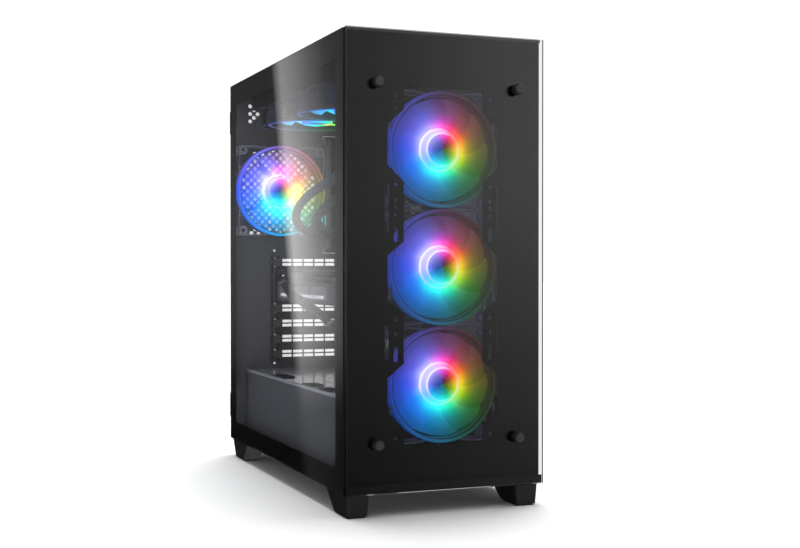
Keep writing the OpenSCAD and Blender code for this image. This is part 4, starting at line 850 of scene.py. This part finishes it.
# ------------------------------------------------------------------ graphics card trim and rotors
b = B()
for y in (160, 50):
    b.lathe([(44.5, 204.6), (44.5, 203.0), (45.2, 202.3), (47.4, 202.3), (48.3, 203.1), (48.3, 204.6)], 96, Matrix.Translation((4, y, 0)))
for y0, y1 in ((0, 62), (70, 132), (140, 196)):
    b.prism([(y0, 206), (y1 - 6, 206), (y1, 212), (y1, 217), (y1 - 8, 224), (y0 + 6, 224), (y0, 218)], -50.9, -49.6, "yz", 0.35, 2)
b.prism([(8, 209.6), (182, 209.6), (186, 211.8), (182, 213.8), (8, 213.8)], -51.4, -50.6, "yz", 0.25, 1, 1)
for x, y in ((-44, -8), (50, -8), (-44, 105), (50, 105), (-44, 200), (50, 200)):
    b.lathe([(0, 202.2), (1.0, 202.2), (1.2, 202.6), (2.6, 202.6), (2.9, 203.4), (0, 203.4)], 20, Matrix.Translation((x, y, 0)), 2)
    b.lathe([(0, 243.5), (1.0, 243.5), (1.2, 243.1), (2.6, 243.1), (2.9, 242.5), (0, 242.5)], 20, Matrix.Translation((x, y, 0)), 2)
for k in range(3):
    y = 20 + 62 * k
    b.prism([(-38, y), (20, y), (34, y + 14), (34, y + 44), (-24, y + 44), (-38, y + 30)], 242.4, 243.4, "xy", 0.3, 1)
b.make("card_trim", [shroud_trim, frost_m, zinc], "chassis", smooth=40)
for i, y in ((1, 160), (2, 50)):
    rotor(f"card_rotor_{i}", f"gpu_fan_rotor_{i}", f"gpu_rotor_{i}", plastic(f"card_rotor_{i}_plastic", (0.03, 0.03, 0.032), (0.042, 0.042, 0.045), (0.3, 0.4)), Matrix.Translation((4 * MM, y * MM, 216 * MM)) @ Matrix.Rotation(math.pi, 4, "X"),
          r_tip=43.2, hub=16.0, cap=12.6, n=11, z0=1.6, z1=10.2, half=24.0, sweep=22.0, hub_z0=0.5, hub_z1=11.6)

# ------------------------------------------------------------------ door border print on the glass
d = B()
XO, XI = -105.0, -104.25
outer = arc_pts(-219.9, 23.5, 1, 180, 270, 4) + arc_pts(231.3, 23.5, 1, 270, 360, 4) + arc_pts(231.3, 483.9, 1, 0, 90, 4) + arc_pts(-219.9, 483.9, 1, 90, 180, 4)
inner = arc_pts(-191, 48.6, 3, 180, 270, 4) + arc_pts(206.5, 48.6, 3, 270, 360, 4) + arc_pts(206.5, 455, 3, 0, 90, 4) + arc_pts(-191, 455, 3, 90, 180, 4)
va = [[d.bm.verts.new((x, p[0], p[1])) for p in loop] for x in (XO, XI) for loop in (outer, inner)]
n = len(outer)
for i in range(n):
    j = (i + 1) % n
    for q in ((va[0][i], va[0][j], va[1][j], va[1][i]), (va[2][j], va[2][i], va[3][i], va[3][j]), (va[0][j], va[0][i], va[2][i], va[2][j]), (va[1][i], va[1][j], va[3][j], va[3][i])):
        d.bm.faces.new(q)
bmesh.ops.recalc_face_normals(d.bm, faces=d.bm.faces[:])
d.make("door_border", frit, "door", ["door_frame"], smooth=0)
g = B()
g.box(-109, -105.02, -221, 232.4, 22.4, 485, 0.35, 2)
for f in g.bm.faces:
    f.material_index = 0 if abs(f.normal.x) > 0.9 else 1
g.make("door_pane", [door_glass_m, frit], "door", ["door_glass"], smooth=0)

edge_side = glass("ground_edge_side", (0.93, 0.95, 0.80), (0.6, 0.6, 0.58), 0.012)
edge_top = glass("ground_edge_top", (0.34, 0.345, 0.30), (0.4, 0.4, 0.38), 0.012)
edge_low = glass("ground_edge_low", (0.13, 0.13, 0.12), (0.3, 0.3, 0.3), 0.012)
lo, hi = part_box("front_glass")
g = B()
g.box(lo[0] / MM, hi[0] / MM, lo[1] / MM, hi[1] / MM, lo[2] / MM, hi[2] / MM, 0.3, 2)
g.bm.normal_update()
for f in g.bm.faces:
    f.material_index = 1 if abs(f.normal.x) > 0.5 else (2 if f.normal.z > 0.5 else (3 if f.normal.z < -0.5 else 0))
g.make("front_pane", [front_glass_m, edge_side, edge_top, edge_low], "chassis", ["front_glass"], smooth=0)

b = B()
b.box(lo[0] / MM + 0.4, hi[0] / MM - 0.4, hi[1] / MM + 0.02, hi[1] / MM + 0.45, lo[2] / MM + 0.3, lo[2] / MM + 9, 0.1, 1)
b.box(lo[0] / MM + 0.4, hi[0] / MM - 2.6, hi[1] / MM + 0.02, hi[1] / MM + 0.45, hi[2] / MM - 3.2, hi[2] / MM - 0.3, 0.1, 1, 1)
b.make("front_pane_print", [frit, plastic("print_grey", (0.10, 0.10, 0.092), (0.13, 0.13, 0.12), (0.5, 0.6))], "chassis", smooth=0)

# ------------------------------------------------------------------ fine weave in the two dust filters
def weave(name, body, x0, x1, y0, y1, z, pitch, w=0.28):
    b = B()
    for i in range(int((x1 - x0) / pitch) + 1):
        x = x0 + i * pitch
        b.box(x - w, x + w, y0, y1, z + 0.05, z + 0.5)
    for i in range(int((y1 - y0) / pitch) + 1):
        y = y0 + i * pitch
        b.box(x0, x1, y - w, y + w, z - 0.4, z + 0.05)
    return b.make(name, mesh_m, body, smooth=0)


lo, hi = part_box("roof_dust_filter")
weave("roof_filter_weave", "roof_filter", lo[0] / MM + 3, hi[0] / MM - 3, lo[1] / MM + 3, hi[1] / MM - 3, (lo[2] + hi[2]) / 2 / MM, 3.0)
lo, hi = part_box("psu_dust_filter")
weave("psu_filter_weave", "psu_filter", lo[0] / MM + 3, hi[0] / MM - 3, lo[1] / MM + 4, hi[1] / MM - 8, (lo[2] + hi[2]) / 2 / MM, 3.0)

# ------------------------------------------------------------------ sockets on the back of the board
shield_m = metal("socket_shield", (0.06, 0.06, 0.064), (0.09, 0.09, 0.095), (0.35, 0.48))
ROWS = [(274, 296, 40), (300, 318, 36), (322, 340, 40), (344, 362, 40), (366, 384, 36), (388, 416, 32)]
b = B()
z = 266.4
for z0, z1, w in ROWS:
    b.box(21.4, 65.1, 227.9, 229.3, z, z0 + 2, 0.25, 1, 0)
    b.box(21.4, 67 - w, 227.9, 229.3, z0 + 2, z1 - 2, 0.0, 1, 0)
    b.box(63, 65.1, 227.9, 229.3, z0 + 2, z1 - 2, 0.0, 1, 0)
    z = z1 - 2
b.box(21.4, 65.1, 227.9, 229.3, z, 423.6, 0.25, 1, 0)
b.box(25.2, 67.8, 206.2, 214.5, 274.2, 415.8, 0.4, 1, 2)


def shell(xc, zc, w, h, tongue=1, tz=0.0, th=1.8, tw=3.2, y1=228.9):
    """stamped metal socket with its tongue"""
    t = 0.55
    for x0, x1, a, c in ((xc - w / 2, xc + w / 2, zc - h / 2, zc - h / 2 + t), (xc - w / 2, xc + w / 2, zc + h / 2 - t, zc + h / 2),
                         (xc - w / 2, xc - w / 2 + t, zc - h / 2 + t, zc + h / 2 - t), (xc + w / 2 - t, xc + w / 2, zc - h / 2 + t, zc + h / 2 - t)):
        b.box(x0, x1, 214.4, y1, a, c, 0.12, 1, 3)
    b.box(xc - (w - tw) / 2, xc + (w - tw) / 2, 214.4, 227.4, zc + tz - th / 2, zc + tz + th / 2, 0.2, 1, tongue)


for xc in (36, 53.5):
    for zc in (280.6, 289.4):
        shell(xc, zc, 14.2, 6.8, 1, 1.0)
shell(38.5, 309, 12.8, 8.4, 2)
shell(54, 309, 15.4, 6.4, 2)
for xc, zc in ((36, 327.4), (36, 334.8), (53.5, 327.4)):
    shell(xc, zc, 14.2, 6.6, 4, 1.0)
shell(53.5, 334.8, 9.4, 3.6, 2, 0, 0.9, 2.4)
for xc in (36, 53.5):
    for zc in (349.4, 356.8):
        shell(xc, zc, 14.2, 6.6, 1, 1.0)
shell(54, 375, 16.2, 13.4, 2, -3.6, 2.6, 5.0)
for zc in (371.4, 378.8):
    shell(38.2, zc, 11.8, 6.4, 4, 1.0)
outY = Matrix.Rotation(math.radians(-90), 4, "X")
for xc, zc, mt in ((42, 394.6, 1), (56, 394.6, 5), (42, 402.2, 2), (56, 402.2, 6), (42, 409.8, 2)):
    b.lathe([(1.9, 0), (3.3, 0), (3.5, 0.4), (3.5, 13.8), (3.1, 14.3), (2.3, 14.3), (1.9, 13.7)], 32, Matrix.Translation((xc, 214.4, zc)) @ outY, mt)
b.box(52.4, 59.6, 214.4, 228.4, 406.4, 413.2, 0.5, 2, 2)
lime = plastic("jack_lime", (0.12, 0.42, 0.08), (0.15, 0.5, 0.1), (0.35, 0.45))
pink = plastic("jack_pink", (0.6, 0.12, 0.2), (0.68, 0.15, 0.24), (0.35, 0.45))
b.make("back_sockets", [shield_m, port_blue, port_dark, nickel, alu_dark, lime, pink], "chassis", ["rear_ports"], smooth=40)

# ------------------------------------------------------------------ camera, lights, floor, world
scene = bpy.context.scene
cam = bpy.data.cameras.new("camera")
cam.lens, cam.sensor_width, cam.clip_start, cam.clip_end = 57.0, 36.0, 0.02, 60
cam_ob = bpy.data.objects.new("camera", cam)
scene.collection.objects.link(cam_ob)
fwd = Vector((0.36926, 0.92932, -0.0076)).normalized()
right = Vector((0.92932, -0.36926, 0)).normalized()
up = right.cross(fwd)
rot = Matrix((right, up, -fwd)).transposed().to_4x4()
cam_ob.matrix_world = Matrix.Translation((-0.5184, -1.4039, 0.2508)) @ rot
scene.camera = cam_ob
scene.view_settings.view_transform = "Standard"
scene.view_settings.look = "None"
scene.view_settings.exposure = 0
scene.view_settings.gamma = 1

bm = bmesh.new()
bmesh.ops.create_grid(bm, x_segments=8, y_segments=8, size=14)
me = bpy.data.meshes.new("studio_floor")
bm.to_mesh(me)
bm.free()
floor = bpy.data.objects.new("studio_floor", me)
scene.collection.objects.link(floor)
floor_m = Mat("floor_white", (0.8, 0.8, 0.8), 0.9, spec=0.0)
floor_m.link(floor_m.mixcol(floor_m.maprange(floor_m.noise(3), 0, 1), (0.795, 0.795, 0.795), (0.805, 0.805, 0.805)), floor_m.p.inputs["Base Color"])
me.materials.append(floor_m.m)
floor.visible_glossy = False
floor.visible_transmission = False


def sun(name, direction, energy, angle, glossy=False):
    l = bpy.data.lights.new(name, "SUN")
    l.energy, l.angle = energy, math.radians(angle)
    o = bpy.data.objects.new(name, l)
    scene.collection.objects.link(o)
    o.matrix_world = Vector(direction).to_track_quat("Z", "Y").to_matrix().to_4x4()
    o.visible_glossy = glossy
    return o


def area(name, loc, target, size, energy, glossy=False, color=(1, 1, 1), camera=False, spread=180):
    l = bpy.data.lights.new(name, "AREA")
    l.shape, l.size, l.size_y, l.energy, l.color = "RECTANGLE", size[0], size[1], energy, color
    l.spread = math.radians(spread)
    o = bpy.data.objects.new(name, l)
    scene.collection.objects.link(o)
    o.matrix_world = Matrix.Translation(loc) @ (Vector(loc) - Vector(target)).to_track_quat("Z", "Y").to_matrix().to_4x4()
    o.visible_glossy = glossy
    o.visible_camera = camera
    o.visible_transmission = False
    return o


sun("overhead", (0.34, 0.6, 2.6), 4.5, 40)
# soft light that the room throws in through the door glass and from behind the front fans
area("door_fill", (-0.1015, 0.042, 0.25), (0.1, 0.042, 0.25), (0.372, 0.42), 1.12, color=(0.95, 0.97, 1.05))
area("front_fill", (-0.03, -0.186, 0.3), (-0.03, 0.2, 0.3), (0.12, 0.3), 0.3, spread=120)

world = bpy.data.worlds.new("studio")
scene.world = world
world.use_nodes = True
wt = world.node_tree
for nd in list(wt.nodes):
    wt.nodes.remove(nd)


def wn(kind, **props):
    nd = wt.nodes.new(kind)
    for k, v in props.items():
        setattr(nd, k, v)
    return nd


def wm(op, a, b=0.0, clamp=False):
    nd = wn("ShaderNodeMath", operation=op, use_clamp=clamp)
    for i, v in enumerate((a, b)):
        if isinstance(v, bpy.types.NodeSocket):
            wt.links.new(v, nd.inputs[i])
        else:
            nd.inputs[i].default_value = v
    return nd.outputs[0]


def wramp(src, lo, hi, stops):
    mr = wn("ShaderNodeMapRange")
    mr.inputs["From Min"].default_value, mr.inputs["From Max"].default_value = lo, hi
    wt.links.new(src, mr.inputs["Value"])
    r = wn("ShaderNodeValToRGB")
    el = r.color_ramp.elements
    while len(el) > 1:
        el.remove(el[-1])
    for i, (pos, v) in enumerate(stops):
        q = min(max((pos - lo) / (hi - lo), 0), 1)
        e = el[0] if i == 0 else el.new(q)
        e.position, e.color = q, (v, v, v, 1)
    wt.links.new(mr.outputs["Result"], r.inputs["Fac"])
    return r.outputs["Color"]


def wmix(fac, a, b):
    nd = wn("ShaderNodeMix", data_type="RGBA")
    for sock, v in ((nd.inputs[0], fac), (nd.inputs[6], a), (nd.inputs[7], b)):
        if isinstance(v, bpy.types.NodeSocket):
            wt.links.new(v, sock)
        elif isinstance(v, (int, float)) and sock.type == "VALUE":
            sock.default_value = v
        else:
            sock.default_value = (v, v, v, 1)
    return nd.outputs[2]


tcw = wn("ShaderNodeTexCoord")
sx = wn("ShaderNodeSeparateXYZ")
wt.links.new(tcw.outputs["Generated"], sx.inputs[0])
X, Y, Z = sx.outputs
el_deg = wm("MULTIPLY", wm("ARCSINE", Z), 180 / math.pi)
# direction seen in the side glass: azimuth from +Y towards -X
az_side = wm("MULTIPLY", wm("ARCTAN2", wm("MULTIPLY", X, -1), Y), 180 / math.pi)
az_front = wm("MULTIPLY", wm("ARCTAN2", X, wm("MULTIPLY", Y, -1)), 180 / math.pi)
t_side = wm("ADD", az_side, wm("ADD", wm("MULTIPLY", el_deg, 0.074), -16.68))
L_side = wramp(t_side, -40, 60, [(-40, 1.0), (-29, 1.0), (-24, 0.25), (-14, 0.08), (-1.0, 0.06), (-0.12, 0.07), (0.12, 1.0), (0.72, 0.8), (1.44, 0.45), (2.17, 0.2), (2.9, 0.12), (14, 0.12), (30, 0.3), (60, 0.35)])
S_side = wramp(el_deg, -30, 30, [(-30, 0.02), (-8.8, 0.027), (-6.5, 0.055), (-5, 0.22), (-3.4, 0.58), (-1.2, 0.87), (2, 0.98), (4.7, 0.77), (7.4, 0.52), (10.2, 0.45), (30, 0.4)])
side = wm("MULTIPLY", wm("MULTIPLY", L_side, S_side), 1.5)
A_front = wramp(az_front, -60, 90, [(-60, 0.28), (0, 0.33), (20, 0.36), (23, 0.55), (26.5, 0.84), (45, 0.86), (70, 0.5), (90, 0.3)])
S_front = wramp(el_deg, -30, 60, [(-30, 0.1), (-11, 0.2), (-7.9, 0.3), (-6.1, 0.4), (-4.3, 0.48), (-2.5, 0.6), (-0.7, 0.72), (1.1, 0.85), (3.5, 1.0), (20, 1.0), (45, 0.9), (60, 0.9)])
front = wm("MULTIPLY", A_front, S_front)
backdrop = wm("MULTIPLY", wm("LESS_THAN", t_side, -29.0), 1.0)
glossy = wmix(wm("GREATER_THAN", Y, 0.0), front, wm("ADD", side, backdrop))
lp = wn("ShaderNodeLightPath")
col = wmix(wm("GREATER_THAN", lp.outputs["Is Glossy Ray"], 0.5), 0.2, glossy)
bounced = wm("ADD", lp.outputs["Diffuse Depth"], lp.outputs["Glossy Depth"])
straight = wm("MULTIPLY", wm("GREATER_THAN", lp.outputs["Is Transmission Ray"], 0.5), wm("LESS_THAN", bounced, 0.5))
col = wmix(straight, col, 1.22)
amb = wmix(wm("LESS_THAN", Z, 0.0), 0.38, 0.9)
col = wmix(wm("GREATER_THAN", lp.outputs["Diffuse Depth"], 0.5), col, amb)
col = wmix(wm("GREATER_THAN", lp.outputs["Is Camera Ray"], 0.5), col, 1.1)
bg = wn("ShaderNodeBackground")
wt.links.new(col, bg.inputs["Color"])
wo = wn("ShaderNodeOutputWorld")
wt.links.new(bg.outputs[0], wo.inputs["Surface"])
